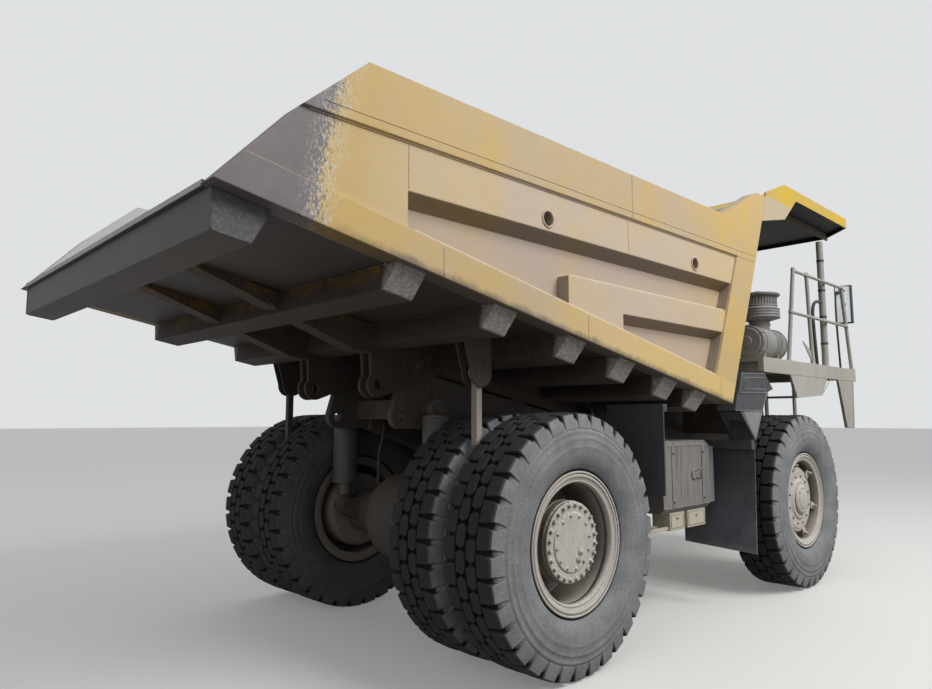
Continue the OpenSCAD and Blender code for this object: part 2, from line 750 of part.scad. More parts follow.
flap_rear_x = 1040;
flap_rear_z = [1125, 1840];
module rear_flaps() {
    place() color(dark_grey) both_sides() {
        block([flap_rear_x, 1270, flap_rear_z[0]], [flap_rear_x + 14, 1800, flap_rear_z[1]]);
        block([flap_rear_x + 13, 1270, flap_rear_z[1] - 60], [flap_rear_x + 60, 1800, flap_rear_z[1]]);
        bar([flap_rear_x + 36, 1500, flap_rear_z[1] - 50], [tank_back + 60, 1500, tank_top + 20 + seat_gap], 20);
        block([tank_back + 30, 1470, tank_top + seat_gap], [tank_back + 90, 1530, tank_top + 30]);
    }
}

// Side of the body, drawn for the left side
seam_x = -1550;
post_w = 390;
crest = [2880, 3970];
notch_x = 2150;
rib2_back = -143;
rib2_z = [2500, 2700];
patch_x = 506;
hole_x = [-354, 1612];
hole_z = 3052;
hole_r = 50;
module side_outline() {
    polygon([[-tail_back, under(-tail_back)], [wall_x(wall_low), wall_low],
        [wall_x(crest.y), crest.y], crest, [notch_x, side_top], [-1834, side_top], [-2241, 3231]]);
}

module low_rail_outline() {
    polygon([[-tail_back, under(-tail_back)], [2400, under(2400)], [2400, under(2400) + low_rail_h],
        [-2900, under(-2900) + low_rail_h], [-2900, under(-2900)]]);
}

module post_outline() {
    z_low = 1700;
    z_high = 4000;
    polygon([[wall_x(z_low) - post_w, z_low], [wall_x(z_low) + 50, z_low], [wall_x(z_high) + 50, z_high],
        [wall_x(z_high) - post_w, z_high]]);
}

module bed_side() {
    rib_out = side_out - 20;
    difference() {
        intersection() {
            slab(side_in, side_out) side_outline();
            union() {
                slab(side_in, side_plate_out) side_outline();
                run(-3000, 3200) polygon([[side_in, band_z], [rib_out, band_z - 10], [side_out, band_z],
                    [side_out, crest.y + 10], [side_in, crest.y + 10]]);
                run(seam_x - 1, 3200) polygon([[side_in, rib_z - 70], [side_plate_out, rib_z - 70],
                    [rib_out, rib_z], [rib_out, band_z], [side_in, band_z]]);
                slab(side_in, rib_out) polygon([[-3000, 2500], [seam_x, 2500], [seam_x, 3400], [-3000, 3400]]);
                slab(side_in, side_out) low_rail_outline();
                slab(side_in, side_out) post_outline();
                run(rib2_back, 3000) polygon([[side_in, rib2_z[0] - 60], [side_plate_out, rib2_z[0] - 60],
                    [rib_out, rib2_z[0]], [rib_out, rib2_z[1]], [side_in, rib2_z[1]]]);
                slab(side_in, rib_out) polygon([[rib2_back, rib2_z[1]], [rib2_back, 2400], [patch_x, 2350],
                    [patch_x, rib2_z[1]]]);
            }
        }
        for (x = hole_x) shaft(x, hole_z, hole_r, side_plate_out, side_out + 10);
    }
}

module bed_side_left() { place() color(body_yellow) bed_side(); }
module bed_side_right() { place() color(body_yellow) mirror([0, 1, 0]) bed_side(); }

floor_back = -tail_back + 10;
floor_front = wall_x(wall_low) - body_plate - seat_gap;
module bed_floor() {
    half = side_in - seat_gap;
    place() color(chassis_brown) slab(-half, half)
        polygon([[floor_back, under(floor_back)], [floor_front, under(floor_front)],
            [floor_front, under(floor_front) + floor_t], [floor_back, under(floor_back) + floor_t]]);
}

wall_ribs = [2250, 2700, 3150, 3600];
wall_rib_h = 160;
wall_rib_d = 90;
wall_top = crest.y - 20;
module bed_front_wall() {
    half = side_in - seat_gap;
    top = wall_top;
    place() color(body_yellow) slab(-half, half) {
        polygon([[wall_x(wall_low) - body_plate, wall_low], [wall_x(wall_low), wall_low],
            [wall_x(top), top], [wall_x(top) - body_plate, top]]);
        for (z = wall_ribs)
            polygon([[wall_x(z) - 1, z], [wall_x(z) + wall_rib_d, z + 30], [wall_x(z) + wall_rib_d, z + wall_rib_h - 30],
                [wall_x(z + wall_rib_h) - 1, z + wall_rib_h]]);
    }
}

// Canopy over the cab and decks, with a board round its edge
board_t = 25;
canopy_plate_z = 4100;
corner_cut = 380;
board_up = 50;
canopy_ribs = [500, 1480];
canopy_rib_z = 3780;
canopy_knee = 3600;
skin_z = canopy_top - board_up;
// Plan of the canopy ahead of its knee, drawn in by a distance
module canopy_plan(inset) {
    half = side_out - inset;
    front = canopy_front - inset;
    cut = corner_cut - inset * (2 - sqrt(2));
    polygon([[canopy_knee, -half], [front - cut, -half], [front, -half + cut], [front, half - cut],
        [front - cut, half], [canopy_knee, half]]);
}

// Side board behind the knee, down the front wall
module cheek_outline() {
    wall_line = [for (z = [3700, 4010]) [wall_x(z) + seat_gap, z]];
    polygon([wall_line[0], [canopy_knee - 50, 3830], [canopy_knee + 300, canopy_plate_z + 20],
        [canopy_knee + 300, canopy_top - 20],
        [canopy_knee - 10, canopy_top], wall_line[1] + [5, 20], wall_line[1]]);
}

module bed_canopy() {
    seat = [wall_x(wall_top - 20) + seat_gap, wall_top - 20];
    seat_low = [wall_x(seat.y - body_plate) + seat_gap, seat.y - body_plate];
    seat_mid = (seat + seat_low) / 2;
    rib_start = [wall_x(canopy_rib_z) + seat_gap, canopy_rib_z];
    place() color(rail_yellow) {
        slab(-side_out + 10, side_out - 10) polygon([seat, [canopy_knee - 10, skin_z], [canopy_knee + 50, skin_z],
            [canopy_knee + 50, skin_z - body_plate], [canopy_knee, skin_z - body_plate], seat_low]);
        translate([0, 0, skin_z - body_plate]) linear_extrude(body_plate) canopy_plan(10);
        translate([0, 0, canopy_plate_z]) linear_extrude(canopy_top - canopy_plate_z) difference() {
            canopy_plan(0);
            canopy_plan(board_t);
        }
        both_sides() slab(side_out - board_t, side_out) cheek_outline();
        both_sides() for (y = canopy_ribs)
            slab(y, y + 20) polygon([rib_start, [(rib_start.x + canopy_knee) / 2, 3850],
                [canopy_knee + 150, skin_z - 110], [canopy_front - 60, skin_z - 110], [canopy_front - 60, skin_z - 10],
                [canopy_knee, skin_z - 10], seat_mid]);
    }
}

tail_half = side_out - 90;
beam_back = -tail_back + 35;
beam_len = 290;
beam_z = [2560, 2530];
module bed_tail_beam() {
    front = beam_back + beam_len;
    place() color(chassis_brown) slab(-tail_half, tail_half)
        polygon([[beam_back, beam_z[0]], [front - 90, beam_z[1]], [front, under(front) - seat_gap - 20],
            [front, under(front) - seat_gap], [beam_back, under(beam_back) - seat_gap]]);
}

// Underframe: bolsters, sills, pivot lugs, hoist lugs and rock ejector brackets
bolsters = [-1495, -735, -20, 590, 1205];
outrigger_x = 1682;
bolster_half = side_out - 45;
bolster_taper = 95;
eject_x = -500;
eject_z = 2040;
eject_y = 1274;
bracket_r = 100;
bracket_t = 15;
lug_top = 3;
pads = [150, 750, 1350, 1950];
stop_swing = 48;
// Where the body's stop hole is while the body is down
stop_arm = stop_hole - [pivot_x, pivot_z];
body_stop = [pivot_x + stop_arm.x * cos(stop_swing) + stop_arm.y * sin(stop_swing),
    pivot_z - stop_arm.x * sin(stop_swing) + stop_arm.y * cos(stop_swing)];
lug_t = 33;
lug_inset = 6;

module on_floor() {
    translate([0, 0, floor_z]) rotate([0, floor_pitch, 0]) children();
}

module bed_underframe() {
    slant = cos(floor_pitch);
    lug_front = hoist_top.x + 200;
    lug_back = bolsters[4] + bolster_w / 2 - 40;
    bracket_back = bolsters[1] + bolster_w / 2 - 40;
    place() color(chassis_brown) {
        on_floor() for (x = bolsters)
            run(x / slant - bolster_w / 2, x / slant + bolster_w / 2)
                polygon([[-bolster_half, -seat_gap], [bolster_half, -seat_gap],
                    [bolster_half - bolster_taper, -bolster_d], [-bolster_half + bolster_taper, -bolster_d]]);
        both_sides() {
            on_floor() run(outrigger_x / slant - bolster_w / 2, outrigger_x / slant + bolster_w / 2)
                polygon([[hoist_y + 60, -seat_gap], [bolster_half, -seat_gap],
                    [bolster_half - bolster_taper, -bolster_d], [hoist_y + 60, -bolster_d]]);
            on_floor() slab(rail_in, rail_out) polygon([[2180, -seat_gap], [2180, -sill_d], [-60, -sill_d],
                [-110, -75], [-690, -75], [-770, -sill_d + 20], [-970, -sill_d], [-2240, -20], [-2240, -seat_gap]]);
            on_floor() for (x = pads)
                block([x, rail_in + 10, -sill_d - pad_t + seat_gap], [x + 160, rail_out - 10, -sill_d + 1]);
            for (y = [rail_in + lug_inset, rail_out - lug_inset - lug_t]) slab(y, y + lug_t) difference() {
                union() {
                    strap([pivot_x, pivot_z], ear_r + 8, body_stop, stop_eye_r);
                    polygon([[pivot_x + 100, pivot_z], [-200, under(-200) - 40], [-860, under(-860) - 40],
                        [body_stop.x - 60, body_stop.y], [pivot_x, pivot_z]]);
                }
                translate(body_stop) circle(r = stop_hole_r, $fn = round_fn);
            }
            shaft(pivot_x, pivot_z, pivot_r, rail_in, rail_out);
            for (y = [hoist_y - 85, hoist_y + 55]) slab(y, y + 30) {
                translate(hoist_top) circle(r = 70, $fn = round_fn);
                polygon([hoist_top + [-60, -20], hoist_top + [60, -20], [lug_front, below(lug_front, 100)],
                    [lug_front, below(lug_front, 20)], [lug_back, below(lug_back, 20)],
                    [lug_back, below(lug_back, 100)]]);
            }
            for (y = [eject_y - 51, eject_y + 36]) slab(y, y + bracket_t) {
                translate([eject_x, eject_z]) circle(r = bracket_r, $fn = round_fn);
                polygon([[eject_x - 92, eject_z - 20], [bracket_back, below(bracket_back, 110)],
                    [bracket_back, below(bracket_back, lug_top)], [eject_x + 96, below(eject_x + 96, lug_top)],
                    [eject_x + 96, eject_z - 10]]);
            }
            shaft(eject_x, eject_z, 22, eject_y - 50, eject_y + 50);
        }
    }
}

// Rock ejector: a square bar that hangs between the twin tyres
eject_low = 1543;
eject_half = 26;
module ejector() {
    slab(eject_y - eject_half, eject_y + eject_half) difference() {
        union() {
            translate([eject_x, eject_z]) circle(r = 55, $fn = round_fn);
            polygon([[eject_x - eject_half, eject_z - 26], [eject_x + eject_half, eject_z - 26],
                [eject_x + eject_half, eject_low + 60], [eject_x - 5, eject_low], [eject_x - eject_half, eject_low]]);
        }
        translate([eject_x, eject_z]) circle(r = 22 + seat_gap, $fn = round_fn);
    }
}
module ejector_left() { place() color(chassis_brown) ejector(); }
module ejector_right() { place() color(chassis_brown) mirror([0, 1, 0]) ejector(); }

// Hoist cylinders, drawn along their own axis from the lower pin
hoist_eye = 70;
stage_r = 65;
hoist_rod_r = 45;
barrel_end = 1000;
stage_start = 100;
stage_end = 1060;
rod_start = 150;
module along_hoist() {
    translate([hoist_low.x, hoist_y, hoist_low.y]) rotate([0, 90 - hoist_angle, 0]) children();
}

module hoist_barrels() {
    place() color(dark_grey) both_sides() difference() {
        union() {
            along_hoist() translate([0, 0, 40]) cylinder(r = hoist_r, h = barrel_end - 40, $fn = round_fn);
            shaft(hoist_low.x, hoist_low.y, hoist_eye, hoist_y - 75, hoist_y + 75);
        }
        along_hoist() translate([0, 0, stage_start - seat_gap])
            cylinder(r = stage_r + seat_gap, h = barrel_end, $fn = round_fn);
        shaft(hoist_low.x, hoist_low.y, hoist_pin_r + seat_gap, hoist_y - 90, hoist_y + 90);
    }
}

module hoist_stages() {
    place() color(dark_grey) both_sides() along_hoist() difference() {
        translate([0, 0, stage_start]) cylinder(r = stage_r, h = stage_end - stage_start, $fn = round_fn);
        translate([0, 0, rod_start - seat_gap]) cylinder(r = hoist_rod_r + seat_gap, h = stage_end, $fn = round_fn);
    }
}

module hoist_rods() {
    place() color(deck_beige) both_sides() {
        along_hoist() translate([0, 0, rod_start])
            cylinder(r = hoist_rod_r, h = hoist_len - rod_start, $fn = round_fn);
        shaft(hoist_top.x, hoist_top.y, 65, hoist_y - 45, hoist_y + 45);
    }
}

// Tyre profile, from the bead out over the lugs: [radius, half width]
bead_gap = 0.5;
sidewall = [[bead_r + bead_gap, rim_half_w - bead_gap], [bead_r + flange_h + 2, rim_half_w - bead_gap],
    [bead_r + flange_h + 2, rim_half_w + 22], [540, tyre_half_w - 22], [620, tyre_half_w],
    [700, tyre_half_w - 2], [tyre_r - 110, tyre_half_w - 12], [tyre_r - 14, tyre_half_w - 34],
    [tyre_r - 3, tyre_half_w - 60], [tyre_r, tyre_half_w - 120]];
function flip(list) = [for (i = [len(list) - 1:-1:0]) [list[i].x, -list[i].y]];

module tyre(x, y) {
    translate([x, y, hub_z]) rotate([90, 0, 0]) difference() {
        rotate_extrude($fn = 96) polygon(concat(sidewall, flip(sidewall)));
        for (s = [1, -1]) for (i = [0:lug_count - 1])
            rotate([0, 0, (i + 0.5 + s * 0.25) * 360 / lug_count])
                translate([tyre_r - lug_depth, -lug_groove / 2, s > 0 ? tyre_half_w - lug_reach - 30 : -tyre_half_w - 10])
                    rotate([0, s * 12, 0]) cube([lug_depth + 60, lug_groove, lug_reach + 40]);
    }
}

module tyres_rear_left() {
    place() color(rubber_grey) for (y = [rear_in_y, rear_out_y]) tyre(0, y);
}
module tyres_rear_right() {
    place() color(rubber_grey) for (y = [-rear_in_y, -rear_out_y]) tyre(0, y);
}
module tyre_front_left() { place() color(rubber_grey) tyre(wheelbase, front_y); }
module tyre_front_right() { place() color(rubber_grey) tyre(wheelbase, -front_y); }

// Rim profile round its own middle: [radius, offset]
module rim_profile() {
    lip = bead_r + flange_h;
    half = [[bead_r, rim_half_w], [lip - 6, rim_half_w], [lip, rim_half_w + 5], [lip, rim_half_w + 14],
        [lip - 10, rim_half_w + 22], [bead_r + 20, rim_half_w + 22], [bead_r - rim_wall, rim_half_w + 8]];
    polygon(concat(half, flip(half)));
}

module turned(x) {
    translate([x, 0, hub_z]) rotate([90, 0, 0]) mirror([0, 0, 1]) rotate_extrude($fn = 64) children();
}

rim_in_r = bead_r - rim_wall;
ring_t = 40;
module wheel_rear() {
    ring1 = rear_in_y + 145;
    ring2 = rear_out_y - 195;
    cover_y = rear_out_y + 140;
    turned(0) {
        for (y = [rear_in_y, rear_out_y]) translate([0, y]) rim_profile();
        polygon([[spindle_r + seat_gap, hub_in_y], [300, hub_in_y], [330, hub_in_y + 40], [330, ring1],
            [rim_in_r + 1, ring1], [rim_in_r + 1, ring1 + ring_t], [330, ring1 + ring_t], [330, ring2],
            [rim_in_r + 1, ring2], [rim_in_r + 1, ring2 + ring_t], [rear_cover_r, ring2 + ring_t],
            [rear_cover_r, cover_y - 30], [rear_cover_r - 25, cover_y], [0, cover_y],
            [0, spindle_end + 5], [spindle_r + seat_gap, spindle_end + 5]]);
    }
}

// Front wheel: its disc is held to the rim by wedge clamps over an open ring
clamp_count = 6;
clamp_half = 35;
module wheel_front() {
    face_y = front_y + 140;
    turned(wheelbase) {
        translate([0, front_y]) rim_profile();
        polygon([[front_spindle_r + seat_gap, front_y - 170], [300, front_y - 170], [330, front_y - 130],
            [330, front_y - 20], [rim_in_r + 1, front_y - 20], [rim_in_r + 1, front_y + 20],
            [front_disc_r, front_y + 20], [front_disc_r, face_y - 35], [front_disc_r - 12, face_y - 25],
            [front_cap_r + 60, face_y - 15], [front_cap_r + 40, face_y], [front_cap_r, face_y],
            [front_cap_r, face_y + 12], [front_cap_r - 20, face_y + 28], [0, face_y + 28],
            [0, front_spindle_end + 5], [front_spindle_r + seat_gap, front_spindle_end + 5]]);
    }
    for (i = [0:clamp_count - 1])
        translate([wheelbase, 0, hub_z]) rotate([0, (i + 0.25) * 360 / clamp_count, 0])
            block([front_disc_r - 25, face_y - 70, -clamp_half], [rim_in_r + 3, face_y - 12, clamp_half]);
}

module wheel_rear_left() { place() color(dusty_rim) wheel_rear(); }
module wheel_rear_right() { place() color(dusty_rim) mirror([0, 1, 0]) wheel_rear(); }
module wheel_front_left() { place() color(dusty_rim) wheel_front(); }
module wheel_front_right() { place() color(dusty_rim) mirror([0, 1, 0]) wheel_front(); }

frame_rails();
frame_crossmembers();
rear_axle();
rear_suspension();
front_struts();
power_train();
hood();
radiator_grille();
bumper();
decks();
handrail_right();
handrail_left();
ladders();
mirrors();
cab_shell();
cab_glass();
cab_interior();
cab_door();
air_cleaner();
hydraulic_tank();
fuel_tank();
front_mudflaps();
rear_flaps();
bed_floor();
bed_side_right();
bed_side_left();
bed_front_wall();
bed_canopy();
bed_tail_beam();
bed_underframe();
ejector_right();
ejector_left();
hoist_barrels();
hoist_stages();
hoist_rods();
knuckle_left();
knuckle_right();
tie_rod();
tyres_rear_left();
tyres_rear_right();
tyre_front_left();
tyre_front_right();
wheel_rear_left();
wheel_rear_right();
wheel_front_left();
wheel_front_right();
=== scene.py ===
import math
import random

import bpy
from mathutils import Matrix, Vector


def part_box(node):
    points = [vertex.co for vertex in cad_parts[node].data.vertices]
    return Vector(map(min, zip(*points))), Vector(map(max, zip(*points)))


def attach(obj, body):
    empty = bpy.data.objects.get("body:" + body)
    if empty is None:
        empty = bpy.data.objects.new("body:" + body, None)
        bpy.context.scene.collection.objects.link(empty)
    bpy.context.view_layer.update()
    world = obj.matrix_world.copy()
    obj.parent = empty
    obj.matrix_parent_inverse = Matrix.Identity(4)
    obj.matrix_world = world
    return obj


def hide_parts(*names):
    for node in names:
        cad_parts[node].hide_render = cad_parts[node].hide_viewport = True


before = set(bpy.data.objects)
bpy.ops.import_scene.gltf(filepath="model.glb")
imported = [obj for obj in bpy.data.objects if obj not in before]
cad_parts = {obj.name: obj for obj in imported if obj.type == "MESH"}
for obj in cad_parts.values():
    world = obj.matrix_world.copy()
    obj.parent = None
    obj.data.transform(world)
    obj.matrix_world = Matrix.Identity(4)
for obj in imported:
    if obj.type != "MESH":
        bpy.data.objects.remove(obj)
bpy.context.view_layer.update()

# Studio
# The truck stands on a pale floor that runs on into a pale backdrop, under a large soft
# lamp high on its right side and a weak one behind the tail. The camera is at chest height,
# behind the right rear wheels, and looks along the truck and slightly up.


def linear(hex_colour, alpha=1.0):
    """An sRGB hex colour as Blender's linear values."""
    channels = [int(hex_colour[i:i + 2], 16) / 255 for i in (1, 3, 5)]
    return [c / 12.92 if c <= 0.04045 else ((c + 0.055) / 1.055) ** 2.4 for c in channels] + [alpha]


def add(tree, kind, **given):
    """A shader node. Names in small letters are its settings. The others are its sockets, by name
    or by _ and number: a socket takes a value, a hex colour, another node's output, or a node's
    first output. A MapRange takes the range from _1 to _2 to the one from _3 to _4."""
    made = tree.nodes.new("ShaderNode" + kind)
    for name, value in given.items():
        if name[0].islower():
            setattr(made, name, value)
            continue
        socket = made.inputs[int(name[1:]) if name[1:].isdigit() else name.replace("_", " ")]
        if isinstance(value, str):
            value = linear(value)
        if isinstance(value, bpy.types.Node):
            value = value.outputs[0]
        if isinstance(value, bpy.types.NodeSocket):
            tree.links.new(value, socket)
        else:
            socket.default_value = value
    return made


def empty_material(name):
    """A material whose tree holds nothing yet."""
    material = bpy.data.materials.new(name)
    material.use_nodes = True
    material.node_tree.nodes.clear()
    return material


def piece(name, vertices, faces, smooth=False):
    """A mesh object from its points and faces."""
    mesh = bpy.data.meshes.new(name)
    mesh.from_pydata(vertices, [], faces)
    mesh.update()
    mesh.shade_smooth() if smooth else mesh.shade_flat()
    made = bpy.data.objects.new(name, mesh)
    bpy.context.scene.collection.objects.link(made)
    return made


rear_low, rear_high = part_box("wheel_rear_right")
front_low, front_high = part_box("wheel_front_right")
rear_axle_x = (rear_low.x + rear_high.x) / 2
front_axle_x = (front_low.x + front_high.x) / 2
axle_z = (rear_low.z + rear_high.z) / 2


def at(ahead, across, height):
    """A place by its distance ahead of the rear axle, to the left, and over the ground."""
    return Vector((rear_axle_x + ahead, across, height))


camera_data = bpy.data.cameras.new("camera")
camera_data.lens = 26.93
camera_data.sensor_width = 36
camera_data.clip_end = 500
camera = bpy.data.objects.new("camera", camera_data)
camera.location = at(-3.886, -4.725, 1.718)
camera.rotation_euler = (math.radians(90 + 6.14), 0, math.radians(46.41 - 90))
bpy.context.scene.collection.objects.link(camera)
bpy.context.scene.camera = camera
bpy.context.scene.view_settings.view_transform = "Standard"

floor_reach = 150
corners = [(x * floor_reach, y * floor_reach, 0) for x, y in ((-1, -1), (1, -1), (1, 1), (-1, 1))]
floor = piece("studio_floor", corners, [(0, 1, 2, 3)])
floor_material = empty_material("pale_concrete")
tree = floor_material.node_tree
grain = add(tree, "TexNoise", Scale=3.0, Detail=6.0)
tone = add(tree, "MixRGB", Fac=grain, Color1="#d3d1cc", Color2="#dedcd8")
# Seen straight on it is pale; the light that it sends up is that of wet ground
path = add(tree, "LightPath")
seen = add(tree, "Math", operation="MAXIMUM", _0=path.outputs["Is Camera Ray"],
           _1=path.outputs["Is Glossy Ray"])
tone = add(tree, "MixRGB", Fac=seen, Color1="#575552", Color2=tone)
glow = add(tree, "Math", operation="MULTIPLY", _0=seen, _1=0.22)
shader = add(tree, "BsdfPrincipled", Base_Color=tone, Roughness=0.9, Emission_Color="#dedcd8",
             Emission_Strength=glow)
add(tree, "OutputMaterial", Surface=shader)
floor.data.materials.append(floor_material)

world = bpy.data.worlds.new("studio")
bpy.context.scene.world = world
world.use_nodes = True
world.node_tree.nodes.clear()
tree = world.node_tree
path = add(tree, "LightPath")
seen = add(tree, "Math", operation="MAXIMUM", _0=path.outputs["Is Camera Ray"],
           _1=path.outputs["Is Glossy Ray"])
seen = add(tree, "Math", operation="MAXIMUM", _0=seen, _1=path.outputs["Is Transmission Ray"])
sky = add(tree, "Background", Color="#e6ecf4", Strength=0.52)
backdrop = add(tree, "Background", Color="#e4e6e8", Strength=0.95)
both = add(tree, "MixShader", _0=seen, _1=sky, _2=backdrop)
add(tree, "OutputWorld", Surface=both)


def soft_lamp(name, place, aim, size, watts):
    """A square lamp at a place, turned to what it lights."""
    data = bpy.data.lights.new(name, "AREA")
    data.size = size
    data.energy = watts
    lamp = bpy.data.objects.new(name, data)
    lamp.location = place
    lamp.rotation_euler = (Vector(aim) - Vector(place)).to_track_quat("-Z", "Y").to_euler()
    bpy.context.scene.collection.objects.link(lamp)


soft_lamp("side_lamp", (2.5, -10.5, 10.5), (0, 0, 1.5), 7, 1350)
soft_lamp("tail_lamp", (-10, -5, 5), (-1.5, 0, 1.6), 5, 60)

# Body sides
# Each side is plate with hollow box stiffeners welded on, sprayed with yellow enamel. Sliding
# rock has worn the tail corner back to steel behind a ragged line of flakes, and scours the
# inner faces bright; the rest is chalked by the sun and veiled with quarry dust.

floor_slope = math.tan(math.radians(10.7))
side_face = 1.830
rib_face = 1.810
plate_face = 1.715
inner_face = 1.690


def under(ahead):
    """Height of the body's underside."""
    return 2.271 - ahead * floor_slope


def quarry_enamel(name, fresh, chalked, dust, chipped, dust_share=0.5, mud_share=0.4, roughness=0.62,
                  mud="#6b6259", worn=None, gloss=0.5):
    """Sprayed enamel that is chalked, dusty, muddy low down and chipped at its edges, with a painted
    highlight along its upper edges. A function given as worn lays the wear, and in places painted shade, of
    one place over it."""
    material = empty_material(name)
    tree = material.node_tree
    place = add(tree, "TexCoord")
    spot = place.outputs["Object"]
    where = add(tree, "SeparateXYZ", Vector=spot)
    facing = add(tree, "SeparateXYZ", Vector=place.outputs["Normal"])
    # Patches of about 0.8 m where the sun has chalked the paint
    patch = add(tree, "TexNoise", Vector=spot, Scale=1.3, Detail=5.0, Roughness=0.62)
    patch = add(tree, "MapRange", _0=patch, _1=0.40, _2=0.62)
    colour = add(tree, "MixRGB", Fac=patch, Color1=fresh, Color2=chalked)
    # Rain runs, 30 mm wide and about half a metre long
    stretch = add(tree, "Mapping", Vector=spot, Scale=(9.0, 9.0, 0.55))
    run = add(tree, "TexNoise", Vector=stretch, Scale=1.6, Detail=6.0, Roughness=0.7)
    run = add(tree, "MapRange", _0=run, _1=0.46, _2=0.74, _4=0.8 * dust_share)
    colour = add(tree, "MixRGB", Fac=run, Color1=colour, Color2=dust)
    # Dust on what faces up, broken by clumps of about 100 mm
    clump = add(tree, "TexNoise", Vector=spot, Scale=7.0, Detail=8.0, Roughness=0.72)
    upward = add(tree, "Math", operation="MULTIPLY_ADD", _0=facing.outputs["Z"], _1=0.55, _2=clump)
    settled = add(tree, "MapRange", _0=upward, _1=0.55, _2=1.0, _4=dust_share)
    # Corners and recesses hold more of it
    hollow = add(tree, "AmbientOcclusion", samples=4, Distance=0.18)
    corner = add(tree, "MapRange", _0=hollow.outputs["AO"], _1=0.80, _2=0.35, _4=0.7 * dust_share)
    settled = add(tree, "Math", operation="MAXIMUM", _0=settled, _1=corner)
    colour = add(tree, "MixRGB", Fac=settled, Color1=colour, Color2=dust)
    # Mud thrown up from the ground, thinning out at about 1.9 m, in spots of 20 mm
    low = add(tree, "MapRange", _0=where.outputs["Z"], _1=2.1, _2=0.4, _4=mud_share)
    splash = add(tree, "TexNoise", Vector=spot, Scale=22.0, Detail=10.0, Roughness=0.75)
    splash = add(tree, "MapRange", _0=splash, _1=0.42, _2=0.6)
    muddy = add(tree, "Math", operation="MULTIPLY", _0=low, _1=splash)
    colour = add(tree, "MixRGB", Fac=muddy, Color1=colour, Color2=mud)
    if worn:
        colour = worn(tree, spot, where, facing, colour)
    # Chips along edges, found where a 10 mm rounding would turn the surface
    rounded = add(tree, "Bevel", samples=4, Radius=0.010)
    flat = add(tree, "NewGeometry")
    turn = add(tree, "VectorMath", operation="DOT_PRODUCT", _0=rounded, _1=flat.outputs["Normal"])
    edge = add(tree, "MapRange", _0=turn.outputs["Value"], _1=0.985, _2=0.86)
    # Dust and a painted highlight along the upper rounded edges, in a tone paler than the dust
    edge_dust_and_highlight = add(tree, "SeparateXYZ", Vector=rounded)
    edge_dust_and_highlight = add(tree, "MapRange", _0=edge_dust_and_highlight.outputs["Z"], _1=0.1, _2=0.4, _4=1.3 * dust_share)
    edge_dust_and_highlight = add(tree, "Math", operation="MULTIPLY", use_clamp=True, _0=edge_dust_and_highlight, _1=edge)
    pale = [min(1.0, 1.25 * channel) for channel in linear(dust)]
    colour = add(tree, "MixRGB", Fac=edge_dust_and_highlight, Color1=colour, Color2=pale)
    chip = add(tree, "TexNoise", Vector=spot, Scale=34.0, Detail=8.0, Roughness=0.7)
    chip = add(tree, "MapRange", _0=chip, _1=0.52, _2=0.58)
    chip = add(tree, "Math", operation="MULTIPLY", _0=edge, _1=chip)
    colour = add(tree, "MixRGB", Fac=chip, Color1=colour, Color2=chipped)
    # Orange peel of 3 mm under dents of a hand's width
    peel = add(tree, "TexNoise", Vector=spot, Scale=300.0, Detail=2.0)
    dent = add(tree, "TexNoise", Vector=spot, Scale=5.0, Detail=3.0)
    relief = add(tree, "Math", operation="MULTIPLY_ADD", _0=dent, _1=9.0, _2=peel)
    surface = add(tree, "Bump", Strength=0.5, Distance=0.0012, Height=relief, Normal=rounded)
    matt = add(tree, "MapRange", _0=settled, _3=roughness, _4=0.95)
    shader = add(tree, "BsdfPrincipled", Base_Color=colour, Roughness=matt,
                 Specular_IOR_Level=gloss, Normal=surface)
    add(tree, "OutputMaterial", Surface=shader)
    return material


def above_underside(tree, where):
    """Height of a point of the body above its sloping underside."""
    slope = add(tree, "Math", operation="MULTIPLY_ADD", _0=where.outputs["X"], _1=floor_slope,
                _2=-under(0) - rear_axle_x * floor_slope)
    return add(tree, "Math", operation="ADD", _0=slope, _1=where.outputs["Z"])


